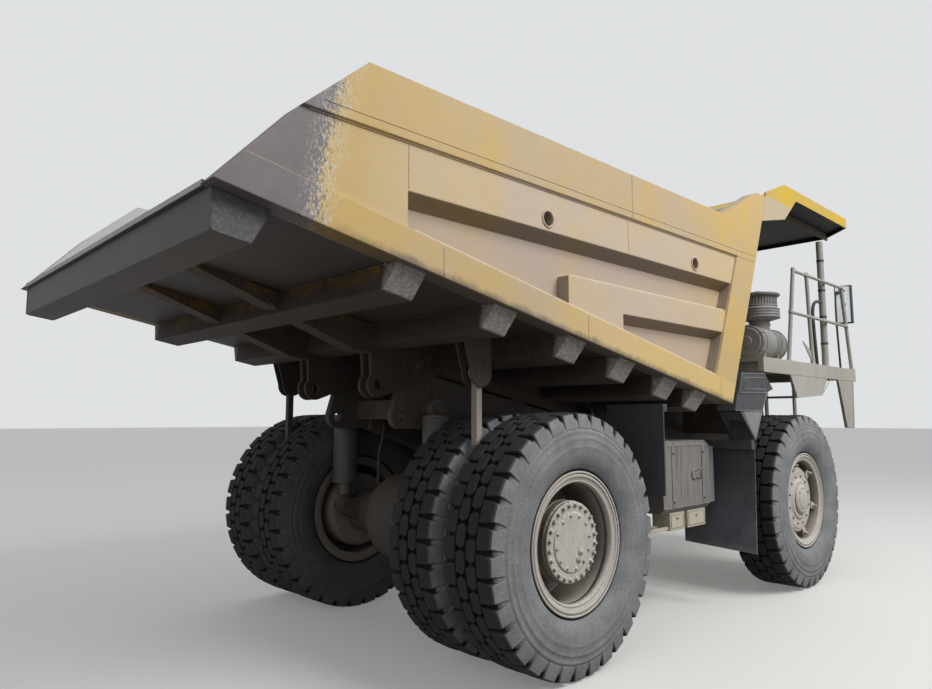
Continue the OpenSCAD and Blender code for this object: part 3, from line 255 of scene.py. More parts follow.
def tail_wear_and_shade(tree, spot, where, facing, colour):
    """Yellow that lasts at both ends of a side, grey dust between the stiffeners, painted shade under the
    ribs, the tail corner worn to steel behind a band of flakes, and inner faces scoured bright."""
    across = add(tree, "Math", operation="ABSOLUTE", _0=where.outputs["Y"])
    # Veils of dust half a metre wide, thickest on the plate and the ribs, between the ends
    stretch = add(tree, "Mapping", Vector=spot, Scale=(1.0, 1.0, 0.6))
    veil = add(tree, "TexNoise", Vector=stretch, Scale=1.9, Detail=5.0, Roughness=0.6)
    veil = add(tree, "MapRange", _0=veil, _1=0.36, _2=0.60, _3=0.2)
    start = add(tree, "MapRange", _0=where.outputs["X"], _1=rear_axle_x - 1.95, _2=rear_axle_x - 1.35)
    end = add(tree, "MapRange", _0=where.outputs["X"], _1=rear_axle_x + 2.05, _2=rear_axle_x + 1.35)
    level = add(tree, "MapRange", _0=across, _1=side_face - 0.012, _2=side_face - 0.006, _3=1.0, _4=0.55)
    for share in (start, end, level):
        veil = add(tree, "Math", operation="MULTIPLY", _0=veil, _1=share)
    colour = add(tree, "MixRGB", Fac=veil, Color1=colour, Color2="#c0ad9b")
    plate = add(tree, "MapRange", _0=across, _1=plate_face + 0.020, _2=plate_face + 0.004, _4=0.6)
    colour = add(tree, "MixRGB", Fac=plate, Color1=colour, Color2="#bba999")
    # The faces of the ribs are the palest
    rib = add(tree, "MapRange", _0=across, _1=rib_face - 0.03, _2=rib_face - 0.01, _4=0.40)
    flush = add(tree, "MapRange", _0=across, _1=side_face - 0.006, _2=side_face - 0.012)
    rib = add(tree, "Math", operation="MULTIPLY", _0=rib, _1=flush)
    colour = add(tree, "MixRGB", Fac=rib, Color1=colour, Color2="#dcc9ad")
    # The front of the lower rail keeps a clear ochre
    rise = above_underside(tree, where)
    rail = add(tree, "MapRange", _0=rise, _1=0.200, _2=0.185, _4=0.55)
    front_part = add(tree, "MapRange", _0=where.outputs["X"], _1=rear_axle_x - 0.6, _2=rear_axle_x + 0.5)
    proud = add(tree, "MapRange", _0=across, _1=side_face - 0.012, _2=side_face - 0.006)
    for share in (front_part, proud):
        rail = add(tree, "Math", operation="MULTIPLY", _0=rail, _1=share)
    colour = add(tree, "MixRGB", Fac=rail, Color1=colour, Color2="#e6c57c")
    # Painted shade under the ribs, on faces that look down; grey on what faces back; and mud splashes along
    # the lower edge
    between = add(tree, "MapRange", _0=across, _1=rib_face - 0.002, _2=rib_face - 0.005)
    below = add(tree, "MapRange", _0=facing.outputs["Z"], _1=-0.25, _2=-0.5, _4=0.62)
    below = add(tree, "Math", operation="MULTIPLY", _0=below, _1=between)
    colour = add(tree, "MixRGB", Fac=below, Color1=colour, Color2="#3c342b")
    back = add(tree, "MapRange", _0=facing.outputs["X"], _1=-0.4, _2=-0.7, _4=0.75)
    back = add(tree, "Math", operation="MULTIPLY", _0=back, _1=between)
    colour = add(tree, "MixRGB", Fac=back, Color1=colour, Color2="#85807a")
    splash = add(tree, "TexNoise", Vector=spot, Scale=9.0, Detail=8.0, Roughness=0.7)
    hem = add(tree, "Math", operation="MULTIPLY_ADD", _0=splash, _1=-0.10, _2=rise)
    hem = add(tree, "MapRange", _0=hem, _1=-0.005, _2=-0.045, _4=0.8)
    colour = add(tree, "MixRGB", Fac=hem, Color1=colour, Color2="#62574c")
    # How far a point lies behind the line where the paint ends
    line = add(tree, "Math", operation="MULTIPLY_ADD", _0=where.outputs["Z"], _1=0.18, _2=rear_axle_x - 2.607)
    behind = add(tree, "Math", operation="SUBTRACT", _0=line, _1=where.outputs["X"])
    # Sheltered yellow ahead of it
    ahead = add(tree, "MapRange", _0=behind, _1=-0.60, _2=-0.10, _4=0.7)
    colour = add(tree, "MixRGB", Fac=ahead, Color1=colour, Color2="#cfab5d")
    # Flakes of 15 to 40 mm, longer up and down than across
    stretch = add(tree, "Mapping", Vector=spot, Scale=(1.0, 1.0, 0.5))
    flake = add(tree, "TexNoise", Vector=stretch, Scale=44.0, Detail=6.0, Roughness=0.8)
    ragged = add(tree, "Math", operation="MULTIPLY_ADD", _0=flake, _1=0.50, _2=behind)
    steel = add(tree, "MapRange", _0=ragged, _1=0.245, _2=0.27)
    stain = add(tree, "TexNoise", Vector=spot, Scale=3.0, Detail=8.0, Roughness=0.68)
    bare = add(tree, "MixRGB", Fac=stain, Color1="#5f5557", Color2="#8b8381")
    colour = add(tree, "MixRGB", Fac=steel, Color1=colour, Color2=bare)
    # White primer shows among them
    near = add(tree, "Math", operation="ABSOLUTE", _0=behind)
    near = add(tree, "MapRange", _0=near, _1=0.15, _2=0.03)
    primer = add(tree, "TexNoise", Vector=stretch, Scale=80.0, Detail=5.0, Roughness=0.85)
    primer = add(tree, "MapRange", _0=primer, _1=0.52, _2=0.57)
    primer = add(tree, "Math", operation="MULTIPLY", _0=near, _1=primer)
    colour = add(tree, "MixRGB", Fac=primer, Color1=colour, Color2="#d2cdbb")
    inside = add(tree, "MapRange", _0=across, _1=inner_face + 0.003, _2=inner_face + 0.001)
    bright = add(tree, "MixRGB", Fac=stain, Color1="#a9a8a8", Color2="#d2d1d0")
    return add(tree, "MixRGB", Fac=inside, Color1=colour, Color2=bright)


def finish(material, slot, *nodes):
    """Gives CAD pieces their material."""
    for name in nodes:
        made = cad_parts[name]
        made.data.materials.clear()
        made.data.materials.append(material)


def join(name, parts, body, slot, material, *stands_for):
    """Joins meshes into one piece that rides on a body."""
    bpy.context.view_layer.update()
    for made in bpy.context.selected_objects:
        made.select_set(False)
    for part in parts:
        part.select_set(True)
    bpy.context.view_layer.objects.active = parts[0]
    if len(parts) > 1:
        bpy.ops.object.join()
    whole = bpy.context.view_layer.objects.active
    whole.name = name
    whole.data.materials.clear()
    whole.data.materials.append(material)
    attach(whole, body)
    if stands_for:
        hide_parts(*stands_for)
    return whole


def rod(path, radius, sides=8, ripple=0.0):
    """A round bar along a path of points; a ripple swells it as the runs of a weld do."""
    if ripple:
        fine = []
        for start, end in zip(path, path[1:]):
            count = max(2, round((end - start).length / 0.012))
            fine += [start.lerp(end, i / count) for i in range(count)]
        path = fine + [path[-1]]
    points, faces = [], []
    for i, spot in enumerate(path):
        ahead = (path[min(i + 1, len(path) - 1)] - path[max(i - 1, 0)]).normalized()
        first = ahead.cross(Vector((0.31, 0.52, 0.79))).normalized()
        second = ahead.cross(first)
        reach = radius * (1 + ripple * (1 if i % 2 else -1))
        points += [spot + reach * (math.cos(a) * first + math.sin(a) * second)
                   for a in (math.tau * k / sides for k in range(sides))]
    for i in range(len(path) - 1):
        for k in range(sides):
            a, b = i * sides + k, i * sides + (k + 1) % sides
            faces.append((a, b, b + sides, a + sides))
    faces.append(tuple(reversed(range(sides))))
    faces.append(tuple(len(points) - sides + k for k in range(sides)))
    return piece("rod", points, faces, smooth=True)


def mirrored(side, *spots):
    """Points given for the left side of the truck, on that side (1) or on the right one (-1)."""
    return [at(x, side * y, z) for x, y, z in spots]


def bead(side, spots, radius=0.005, ripple=0.15):
    """A weld bead, or a crust of mud, along a line on one side of the truck."""
    return rod(mirrored(side, *spots), radius, 6, ripple)


def circle(middle, axis, radius, count, turn=0.0):
    """Points round an axis that runs along X, Y or Z, the first one turned by a share of a step."""
    first = Vector((0, 1, 0)) if axis.x else Vector((1, 0, 0))
    second = Vector((0, 1, 0)) if axis.z else Vector((0, 0, 1))
    return [middle + radius * (math.cos(a) * first + math.sin(a) * second)
            for a in (math.tau * (k + turn) / count for k in range(count))]


def hoop(loop, radius, sides=8):
    """A round bar bent into a closed ring."""
    return rod(loop + loop[:1], radius, sides)


def wall_x(height):
    """Place of the front wall's outer face ahead of the rear axle."""
    return 2.278 + (height - 2.097) * math.tan(math.radians(23.4))


body_enamel = quarry_enamel("enamel_sprayed_body", "#d3b063", "#c9ae7c", "#c3b2a0", "#7a6a54",
                            dust_share=0.45, worn=tail_wear_and_shade)
weld_enamel = quarry_enamel("enamel_sprayed_welds", "#c9ab68", "#c4ab80", "#c3b2a0", "#a8987c",
                            dust_share=0.45, worn=tail_wear_and_shade)
finish(body_enamel, "body_paint", "bed_side_right", "bed_side_left")
mud_and_highlight_beads = quarry_enamel("mud_and_highlight_on_ledges", "#d9c79f", "#d4c19c", "#e0d4bd", "#cdbfa2", dust_share=0.6)
leftward = Vector((0, 1, 0))
bead_sunk = 0.0015
post_x, rib_top, shelf_top, band_joint = -1.546, 3.241, 2.985, 3.305
hole_places, hole_height, hole_radius = (-0.354, 1.612), 3.052, 0.0495
for side, name in ((-1, "right"), (1, "left")):
    band_y, rib_y, plate_y = side_face, rib_face + 0.002, plate_face + 0.002
    level_seams = [((-2.455, rib_y), (-1.556, rib_y), 0.196), ((-1.545, plate_y), (2.19, plate_y), 0.194)]
    seams = [[(x, y, under(x) + rise) for x, y in ends] for *ends, rise in level_seams]
    seams += [
        [(-2.18, rib_y + 0.002, rib_top), (wall_x(rib_top) - 0.40, rib_y + 0.002, rib_top)],
        [(wall_x(rib_top) - short, band_y, rib_top + 0.006) for short in (0.39, 0.03)],
        [(post_x, rib_face, shelf_top), (post_x, rib_face, 3.232)],
        [(-2.10, band_y, band_joint), (wall_x(band_joint) - 0.03, band_y, band_joint)],
        [(post_x, plate_y, 2.60), (post_x, plate_y, 2.895)],
        [(0.64, band_y, 3.262), (0.64, band_y, 3.595)],
        [(0.60, rib_face, shelf_top), (0.60, rib_face, 3.236)],
        [(-0.140, plate_face + 0.003, 2.49), (-0.140, plate_face + 0.003, 2.695)],
    ]
    # Butt joints of the lower rail
    seams += [[(x, band_y, under(x) + 0.01), (x, band_y, under(x) + 0.18)] for x in (-1.30, 0.05, 1.97)]
    parts = [bead(side, [(x, y - bead_sunk, z) for x, y, z in seam], ripple=0.18) for seam in seams]
    join(f"body_welds_{name}", parts, "bed", "body_paint", weld_enamel)
    # Pale mud along the ledges of the rail and of the lower rib: partly real mud, partly a painted highlight
    # along the lit ledges
    ledges = [[(x, side_face - 0.010, under(x) + 0.192) for x in (-1.52, 2.18)],
              [(x, rib_face - 0.010, 2.702) for x in (-0.13, 2.12)]]
    parts = [bead(side, ledge, 0.009, 0.22) for ledge in ledges]
    join(f"ledge_mud_and_highlight_{name}", parts, "bed", "body_paint", mud_and_highlight_beads)
    # Pipe ends round the two through holes
    middles = [at(x, side * rib_y, hole_height) for x in hole_places]
    rings = [hoop(circle(middle, leftward, hole_radius + 0.0065, 40), 0.0075) for middle in middles]
    join(f"hole_collars_{name}", rings, "bed", "body_paint", weld_enamel)

# Front wall, floor and tail
# Thick wear plate, welded to the sides. The rock keeps its inner faces scoured and bright,
# while the outside of the wall still has its enamel.


def scoured(tree, spot, where, facing, colour):
    """Steel scoured by rock on the side that faces the load."""
    stain = add(tree, "TexNoise", Vector=spot, Scale=6.0, Detail=7.0, Roughness=0.7)
    bright = add(tree, "MixRGB", Fac=stain, Color1="#a5a4a4", Color2="#cbcac9")
    rearward = add(tree, "MapRange", _0=facing.outputs["X"], _1=-0.35, _2=-0.45)
    upward = add(tree, "MapRange", _0=facing.outputs["Z"], _1=0.9, _2=0.95)
    load = add(tree, "Math", operation="MAXIMUM", _0=rearward, _1=upward)
    return add(tree, "MixRGB", Fac=load, Color1=colour, Color2=bright)


wall_enamel = quarry_enamel("enamel_sprayed_wall", "#c9a95f", "#b7a27c", "#a89c8d", "#5a5048",
                            dust_share=0.6, worn=scoured)
finish(wall_enamel, "body_paint", "bed_front_wall")
floor_plate = quarry_enamel("steel_rolled_floor", "#2f2623", "#392d28", "#453a33", "#1d1a18",
                            dust_share=0.45, worn=scoured)
finish(floor_plate, "floor_steel", "bed_floor")


def rusted_below(tree, spot, where, facing, colour):
    """Rust and mud under the beam, and pale grit on its ends."""
    down = add(tree, "MapRange", _0=facing.outputs["Z"], _1=-0.5, _2=-0.85, _4=0.8)
    colour = add(tree, "MixRGB", Fac=down, Color1=colour, Color2="#43382f")
    across = add(tree, "Math", operation="ABSOLUTE", _0=facing.outputs["Y"])
    grit = add(tree, "TexNoise", Vector=spot, Scale=60.0, Detail=8.0, Roughness=0.8)
    grit = add(tree, "MapRange", _0=grit, _1=0.50, _2=0.60, _4=0.4)
    grit = add(tree, "Math", operation="MULTIPLY", _0=grit, _1=across)
    return add(tree, "MixRGB", Fac=grit, Color1=colour, Color2="#8d8680")


tail_steel = quarry_enamel("steel_plate_tail", "#494748", "#534f50", "#68635f", "#39373a", dust_share=0.35,
                           worn=rusted_below)
finish(tail_steel, "chassis_paint", "bed_tail_beam")
beam_back, beam_end = -2.619, 1.739
corners = []
for side in (-1, 1):
    corners.append(bead(side, [(beam_back, beam_end, z) for z in (2.565, 2.755)], 0.006))
    lower_edge = ((beam_back + 0.007, 2.561), (-2.430, 2.533))
    corners.append(bead(side, [(x, beam_end + 0.001, z) for x, z in lower_edge]))
join("tail_beam_welds", corners, "bed", "chassis_paint", tail_steel)

# Underframe
# Box bolsters and sills of welded plate, with lugs for the pivots, the hoists and the rock
# ejectors. Splashed mud dries in a crust on the bolsters' ends and keeps dark underneath.


def caked_ends(tree, spot, where, facing, colour):
    """Dry mud on the ends that stick out beyond the tyres, and yellow left next to the floor."""
    across = add(tree, "Math", operation="ABSOLUTE", _0=where.outputs["Y"])
    outer = add(tree, "MapRange", _0=across, _1=1.66, _2=1.70)
    hung = add(tree, "MapRange", _0=above_underside(tree, where), _1=-0.11, _2=-0.03)
    rearmost = add(tree, "MapRange", _0=where.outputs["X"], _1=rear_axle_x - 0.9, _2=rear_axle_x - 1.3)
    patch = add(tree, "TexNoise", Vector=spot, Scale=5.0, Detail=7.0, Roughness=0.7)
    patch = add(tree, "MapRange", _0=patch, _1=0.46, _2=0.58, _4=0.75)
    for share in (rearmost, patch):
        hung = add(tree, "Math", operation="MULTIPLY", _0=hung, _1=share)
    colour = add(tree, "MixRGB", Fac=hung, Color1=colour, Color2="#8f6d27")
    crust = add(tree, "TexNoise", Vector=spot, Scale=42.0, Detail=9.0, Roughness=0.78)
    crust = add(tree, "MapRange", _0=crust, _1=0.36, _2=0.62)
    mud = add(tree, "MixRGB", Fac=crust, Color1="#7a736b", Color2="#c8bfb4")
    return add(tree, "MixRGB", Fac=outer, Color1=colour, Color2=mud)


underframe_enamel = quarry_enamel("enamel_brushed_underframe", "#382f2a", "#453b34", "#5f544a", "#201d1b",
                                  dust_share=0.5, mud_share=0.3, roughness=0.75, worn=caked_ends)
finish(underframe_enamel, "chassis_paint", "bed_underframe")


def sheet(front, back):
    """A closed plate between two outlines that have equally many corners."""
    count = len(front)
    sides = [(i, (i + 1) % count, count + (i + 1) % count, count + i) for i in range(count)]
    ends = [tuple(reversed(range(count))), tuple(range(count, 2 * count))]
    return piece("sheet", front + back, ends + sides)


bolsters = (-1.495, -0.735, -0.02, 0.59, 1.205)
bolster_half, sill_face = 0.112, 0.519
parts = []
for side in (-1, 1):
    for ahead in (x + edge for x in bolsters for edge in (-bolster_half, bolster_half)):
        parts.append(bead(side, [(ahead, y, under(ahead) - 0.006) for y in (0.52, 1.70)], 0.007))
    # Stiffening gussets between the two rear bolsters and the sills
    for x in bolsters[:2]:
        for k in (-1, 1):
            near, far = x + k * 0.100, x + k * 0.330
            front, back = (mirrored(side, (near, y, under(x) - 0.14), (far, y, under(far) - 0.012),
                                    (near, y, under(near) - 0.012)) for y in (sill_face, sill_face + 0.016))
            parts.append(sheet(front, back))
join("underframe_welds", parts, "bed", "chassis_paint", underframe_enamel)
# A dark disc at the bottom of the holes in the sides, as painted shade inside them
points, faces = [], []
for side in (-1, 1):
    for x in hole_places:
        start, count = len(points), 32
        for y in (plate_face - 0.002, plate_face + 0.008):
            points += circle(at(x, side * y, hole_height), leftward, hole_radius, count)
        end = tuple(range(start, start + count))
        faces += [end, tuple(k + count for k in reversed(end))]
        faces += [(start + k, start + count + k, start + count + (k + 1) % count, start + (k + 1) % count)
                  for k in range(count)]
join("hole_shade_disc", [piece("painted_shade_brown", points, faces)], "bed", "chassis_paint", underframe_enamel)

# Canopy
# A folded plate roof that carries stones over the cab, with a board round its edge. Out of
# reach of the load it keeps the brightest yellow; below it is painted shade, near black.

cheek_top = 3.990


def shaded(tree, spot, where, facing, colour):
    """Grey dust on the cheeks, and painted shade, near black, on what faces down and under the roof."""
    cheek = add(tree, "MapRange", _0=where.outputs["Z"], _1=cheek_top + 0.006, _2=cheek_top - 0.006, _4=0.85)
    colour = add(tree, "MixRGB", Fac=cheek, Color1=colour, Color2="#c2b59f")
    # Painted shade, near black with a faint mottle, on what faces down
    down = add(tree, "MapRange", _0=facing.outputs["Z"], _1=-0.2, _2=-0.6)
    stain = add(tree, "TexNoise", Vector=spot, Scale=5.0, Detail=7.0, Roughness=0.7)
    canopy_shade = add(tree, "MixRGB", Fac=stain, Color1="#0e0d0d", Color2="#1f1d1b")
    # Painted shade on the boards' inner sides as well
    across = add(tree, "Math", operation="ABSOLUTE", _0=where.outputs["Y"])
    inner = add(tree, "MapRange", _0=across, _1=side_face - 0.010, _2=side_face - 0.014)
    rear = add(tree, "MapRange", _0=facing.outputs["X"], _1=0.3, _2=0.2)
    flat = add(tree, "MapRange", _0=facing.outputs["Z"], _1=0.3, _2=0.1)
    # but only under the roof, which rises from the wall to its knee
    climb = add(tree, "MapRange", _0=where.outputs["X"], _1=rear_axle_x + 3.590,
                _2=rear_axle_x + 3.097, _4=0.180)
    climb = add(tree, "Math", operation="ADD", _0=climb, _1=where.outputs["Z"])
    roofed = add(tree, "MapRange", _0=climb, _1=4.162, _2=4.154)
    for share in (rear, flat, roofed):
        inner = add(tree, "Math", operation="MULTIPLY", _0=inner, _1=share)
    down = add(tree, "Math", operation="MAXIMUM", _0=down, _1=inner)
    colour = add(tree, "MixRGB", Fac=down, Color1=colour, Color2=canopy_shade)
    # The outer faces of the two long ribs have caught beige dust
    rib = add(tree, "MapRange", _0=across, _1=1.490, _2=1.497)
    sideways = add(tree, "Math", operation="ABSOLUTE", _0=facing.outputs["Y"])
    sideways = add(tree, "MapRange", _0=sideways, _1=0.7, _2=0.9, _4=0.75)
    beyond = add(tree, "MapRange", _0=across, _1=1.520, _2=1.510)
    for share in (sideways, beyond):
        rib = add(tree, "Math", operation="MULTIPLY", _0=rib, _1=share)
    return add(tree, "MixRGB", Fac=rib, Color1=colour, Color2="#aba08e")


canopy_enamel = quarry_enamel("enamel_sprayed_canopy", "#d8b338", "#cdae58", "#bcae96", "#6a5a48",
                              dust_share=0.35, worn=shaded, gloss=0.2)
finish(canopy_enamel, "canopy_paint", "bed_canopy")

# Chassis
# Box rails and castings in dark paint, under oily dust and old mud. The housings are bolted
# with rings of hex heads, and steel brake pipes run along the axle.

chassis_enamel = quarry_enamel("enamel_brushed_chassis", "#47403a", "#534b44", "#73695f", "#282421",
                               dust_share=0.55, mud_share=0.5, roughness=0.72, mud="#4f4841")
finish(chassis_enamel, "chassis_paint", "frame_rails", "frame_crossmembers", "rear_axle", "power_train",
       "front_struts", "hoist_barrels", "hoist_stages", "knuckle_left", "knuckle_right", "tie_rod")
cylinder_enamel = quarry_enamel("enamel_sprayed_cylinders", "#544f4a", "#605a54", "#766e65", "#2a2725",
                                dust_share=0.6, mud_share=0.4, roughness=0.6)
finish(cylinder_enamel, "chassis_paint", "rear_suspension")


def loft(points, faces, place, direction, sections, sides):
    """A turned or many-sided solid on an axis, from its sections: (radius, height)."""
    first = direction.orthogonal().normalized()
    second = direction.cross(first)
    start = len(points)
    for radius, height in sections:
        points += [place + direction * height + radius * (math.cos(a) * first + math.sin(a) * second)
                   for a in (math.tau * k / sides for k in range(sides))]
    for i in range(len(sections) - 1):
        for k in range(sides):
            a, b = start + i * sides + k, start + i * sides + (k + 1) % sides
            faces.append((a, b, b + sides, a + sides))
    faces.append(tuple(start + k for k in reversed(range(sides))))
    faces.append(tuple(len(points) - sides + k for k in range(sides)))


def hex_head(points, faces, place, direction, radius, height):
    """A hex head on its washer, with the corners turned off."""
    loft(points, faces, place - direction * 0.01, direction,
         [(radius * 1.32, 0), (radius * 1.32, 0.01 + 0.18 * height)], 16)
    loft(points, faces, place, direction,
         [(radius, 0), (radius, 0.82 * height), (radius * 0.84, height)], 6)


def bolt_ring(points, faces, middle, out, radius, count, head, height, turn=0.0):
    """Hex heads round an axis."""
    for spot in circle(middle, out, radius, count, turn):
        hex_head(points, faces, spot, out, head, height)


up, forward = Vector((0, 0, 1)), Vector((1, 0, 0))
pins = ((-0.300, 0.696, 0.960), (-0.300, 0.696, 1.800), (-0.380, 0.516, 2.140))
points, faces = [], []
for side in (-1, 1):
    out = Vector((0, side, 0))
    # Cover of the banjo, then caps on the pins of the suspension and of the body
    bolt_ring(points, faces, at(0, side * 0.205, axle_z), out, 0.335, 16, 0.014, 0.022)
    for spot in mirrored(side, *pins):
        loft(points, faces, spot, out, [(0.046, 0), (0.046, 0.008), (0.040, 0.013)], 28)
        bolt_ring(points, faces, spot + out * 0.012, out, 0.029, 4, 0.007, 0.010, 0.5)
join("chassis_bolts", [piece("bolts", points, faces)], "chassis", "chassis_paint", chassis_enamel)
# Steel pipes along the axle and down from the frame
pipe_x, pipe_y = -0.16, 0.30
parts = []
for side in (-1, 1):
    along = [(pipe_x, y, axle_z + z) for y, z in
             ((0.20, 0.25), (0.30, 0.235), (0.42, 0.17), (0.56, 0.125), (0.72, 0.10))]
    down = [(x, pipe_y, z) for x, z in
            ((-0.10, 1.72), (-0.12, 1.56), (-0.16, 1.42), (-0.16, 1.25), (-0.17, 1.17))]
    parts += [rod(mirrored(side, *along), 0.010), rod(mirrored(side, *down), 0.014)]
join("brake_pipes", parts, "chassis", "chassis_paint", chassis_enamel)
# Dust bellows over each suspension rod's gland, and the ring round the top of its barrel
bellows = [(0.070, 0), (0.108, 0.006), (0.108, 0.040), (0.100, 0.046)]
barrel_ring = [(0.100, -0.012), (0.112, -0.006), (0.112, 0.022), (0.098, 0.034)]
points, faces = [], []
for side in (-1, 1):
    for z, sections in ((1.155, bellows), (1.700, barrel_ring)):
        loft(points, faces, at(-0.300, side * 0.620, z), up, sections, 32)
join("suspension_glands", [piece("glands", points, faces)], "chassis", "chassis_paint", cylinder_enamel)

# Hoist rods and rock ejectors
# Hard chromed steel rods, ground and polished, with a film of oily dust. The ejectors are
# square bars that hang on a pin between the tyres, rubbed and caked by what they knock out.


def hard_chrome():
    """Chrome on ground steel: bright, with a thin dull film of dust."""
    material = empty_material("chrome_ground")
    tree = material.node_tree
    spot = add(tree, "TexCoord").outputs["Object"]
    film = add(tree, "TexNoise", Vector=spot, Scale=14.0, Detail=6.0, Roughness=0.7)
    colour = add(tree, "MixRGB", Fac=film, Color1="#b9b9ba", Color2="#8d8985")
    dull = add(tree, "MapRange", _0=film, _3=0.12, _4=0.45)
    shader = add(tree, "BsdfPrincipled", Base_Color=colour, Metallic=1.0, Roughness=dull)
    add(tree, "OutputMaterial", Surface=shader)
    return material


finish(hard_chrome(), "rod_chrome", "hoist_rods")
ejector_steel = quarry_enamel("steel_bar_ejectors", "#a4988b", "#b1a394", "#bcb0a3", "#4a423b",
                              dust_share=0.6, mud_share=0.8, mud="#b09f8b")
finish(ejector_steel, "chassis_paint", "ejector_right")
# The left one has the chassis's dark paint, as painted shade: it hangs in shade
finish(chassis_enamel, "chassis_paint", "ejector_left")

# Tyres
# Earthmover tyres: rubber moulded over a steel carcass, with a worn rock tread of shoulder
# lugs and two rows of six-sided blocks. Clay dries pale on the sidewalls, while stones keep
# the tread dark.

tyre_low, tyre_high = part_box("tyre_front_right")
tyre_radius = (tyre_high.z - tyre_low.z) / 2
tyre_side = (tyre_high.y - tyre_low.y) / 2
lugs = 34


def turned(name, profile, steps=160, smooth=True):
    """A closed ring about the Y axis, turned from its section: (radius, distance along Y)."""
    rows = len(profile)
    points = [(r * math.cos(math.tau * i / steps), y, r * math.sin(math.tau * i / steps))
              for i in range(steps) for r, y in profile]
    faces = [(i * rows + j, i * rows + (j + 1) % rows, (i + 1) % steps * rows + (j + 1) % rows,
              (i + 1) % steps * rows + j) for i in range(steps) for j in range(rows)]
    return piece(name, points, faces, smooth)


def tread_block(points, faces, stations, middle, chamfer=0.006):
    """One rubber block, lofted over its stations across the tread. A station is the top's
    radius and place across, the base's radius and place across, and half the length."""
    start = len(points)
    for top_r, top_y, base_r, base_y, half in stations:
        side_r = top_r + (base_r - top_r) * 0.2
        side_y = top_y + (base_y - top_y) * 0.2
        rising = [(base_r, base_y, half + 0.006), (side_r, side_y, half), (top_r, top_y, half - chamfer)]
        for r, y, reach in rising + [(r, y, -reach) for r, y, reach in reversed(rising)]:
            angle = middle + reach / tyre_radius
            points.append((r * math.cos(angle), y, r * math.sin(angle)))
    rows = 6
    for i in range(len(stations) - 1):
        for j in range(rows):
            a, b = start + i * rows + j, start + i * rows + (j + 1) % rows
            faces.append((a, b, b + rows, a + rows))
    faces.append(tuple(start + j for j in reversed(range(rows))))
    faces.append(tuple(start + (len(stations) - 1) * rows + j for j in range(rows)))


def rock_tyre(name, place):
    """A tyre about its own middle, then put in its place."""
    r, w = tyre_radius, tyre_side
    # The section, from the rim round the sidewall to the middle of the tread, and mirrored
    half = [(0.4195, 0.1645), (0.4845, 0.1645), (0.490, 0.168), (0.4945, 0.184), (0.501, 0.196),
            (0.508, 0.202), (0.540, w - 0.023), (0.580, w - 0.009), (0.600, w - 0.004), (0.6435, w - 0.0005),
            (0.646, w), (0.652, w), (0.6545, w - 0.001), (0.700, w - 0.0035), (0.7035, w - 0.0025),
            (0.709, w - 0.0025), (0.7125, w - 0.006), (0.745, w - 0.0085), (0.749, w - 0.0075),
            (0.757, w - 0.008), (0.761, w - 0.012), (r - 0.105, w - 0.019), (r - 0.070, w - 0.030),
            (r - 0.050, w - 0.044), (r - 0.040, w - 0.070), (r - 0.037, 0.115), (r - 0.036, 0.04)]
    carcass = turned(name, half + [(radius, -y) for radius, y in reversed(half)], 136)
    points, faces = [], []
    # Stations of a shoulder lug, outward and down the sidewall, then those of a block beside it
    shoulder = [(r - 0.008, 0.096, r - 0.040, 0.090, 0.066), (r - 0.001, 0.101, r - 0.045, 0.098, 0.071),
                (r - 0.001, 0.130, r - 0.045, 0.130, 0.071), (r - 0.004, 0.188, r - 0.045, 0.165, 0.064),
                (r - 0.014, w - 0.035, r - 0.055, w - 0.075, 0.060),
                (r - 0.045, w - 0.026, r - 0.075, w - 0.055, 0.063),
                (r - 0.080, w - 0.0185, r - 0.100, w - 0.045, 0.069),
                (r - 0.106, w - 0.0135, r - 0.118, w - 0.035, 0.074),
                (r - 0.111, w - 0.0165, r - 0.122, w - 0.035, 0.073)]
    core = [(r - 0.007, 0.0075, r - 0.040, 0.005, 0.050), (r - 0.0005, 0.0115, r - 0.040, 0.008, 0.057),
            (r - 0.0005, 0.045, r - 0.040, 0.045, 0.0765), (r - 0.0005, 0.082, r - 0.040, 0.085, 0.062),
            (r - 0.007, 0.086, r - 0.040, 0.089, 0.055)]
    for i in range(lugs):
        for side, shift in ((1, 0.25), (-1, -0.25)):
            middle = (i + 0.5 + shift) * math.tau / lugs
            rows = [(a, side * b, c, side * d, half_len + chance.uniform(-0.002, 0.001))
                    for a, b, c, d, half_len in shoulder]
            tread_block(points, faces, rows, middle)
            worn = chance.uniform(0, 0.004)
            rows = [(a - worn, side * b, c, side * d, half_len) for a, b, c, d, half_len in core]
            tread_block(points, faces, rows, middle + 0.5 * math.tau / lugs)
    blocks = piece(name + "_blocks", points, faces)
    for made in (carcass, blocks):
        made.location = place
    return carcass, blocks


def away_from_middle(tree, facing):
    """From 1 on faces that look out from the truck's middle to -1 on those that look in."""
    place = add(tree, "SeparateXYZ", Vector=add(tree, "NewGeometry").outputs["Position"])
    side = add(tree, "Math", operation="SIGN", _0=place.outputs["Y"])
    return add(tree, "Math", operation="MULTIPLY", _0=side, _1=facing.outputs["Y"])


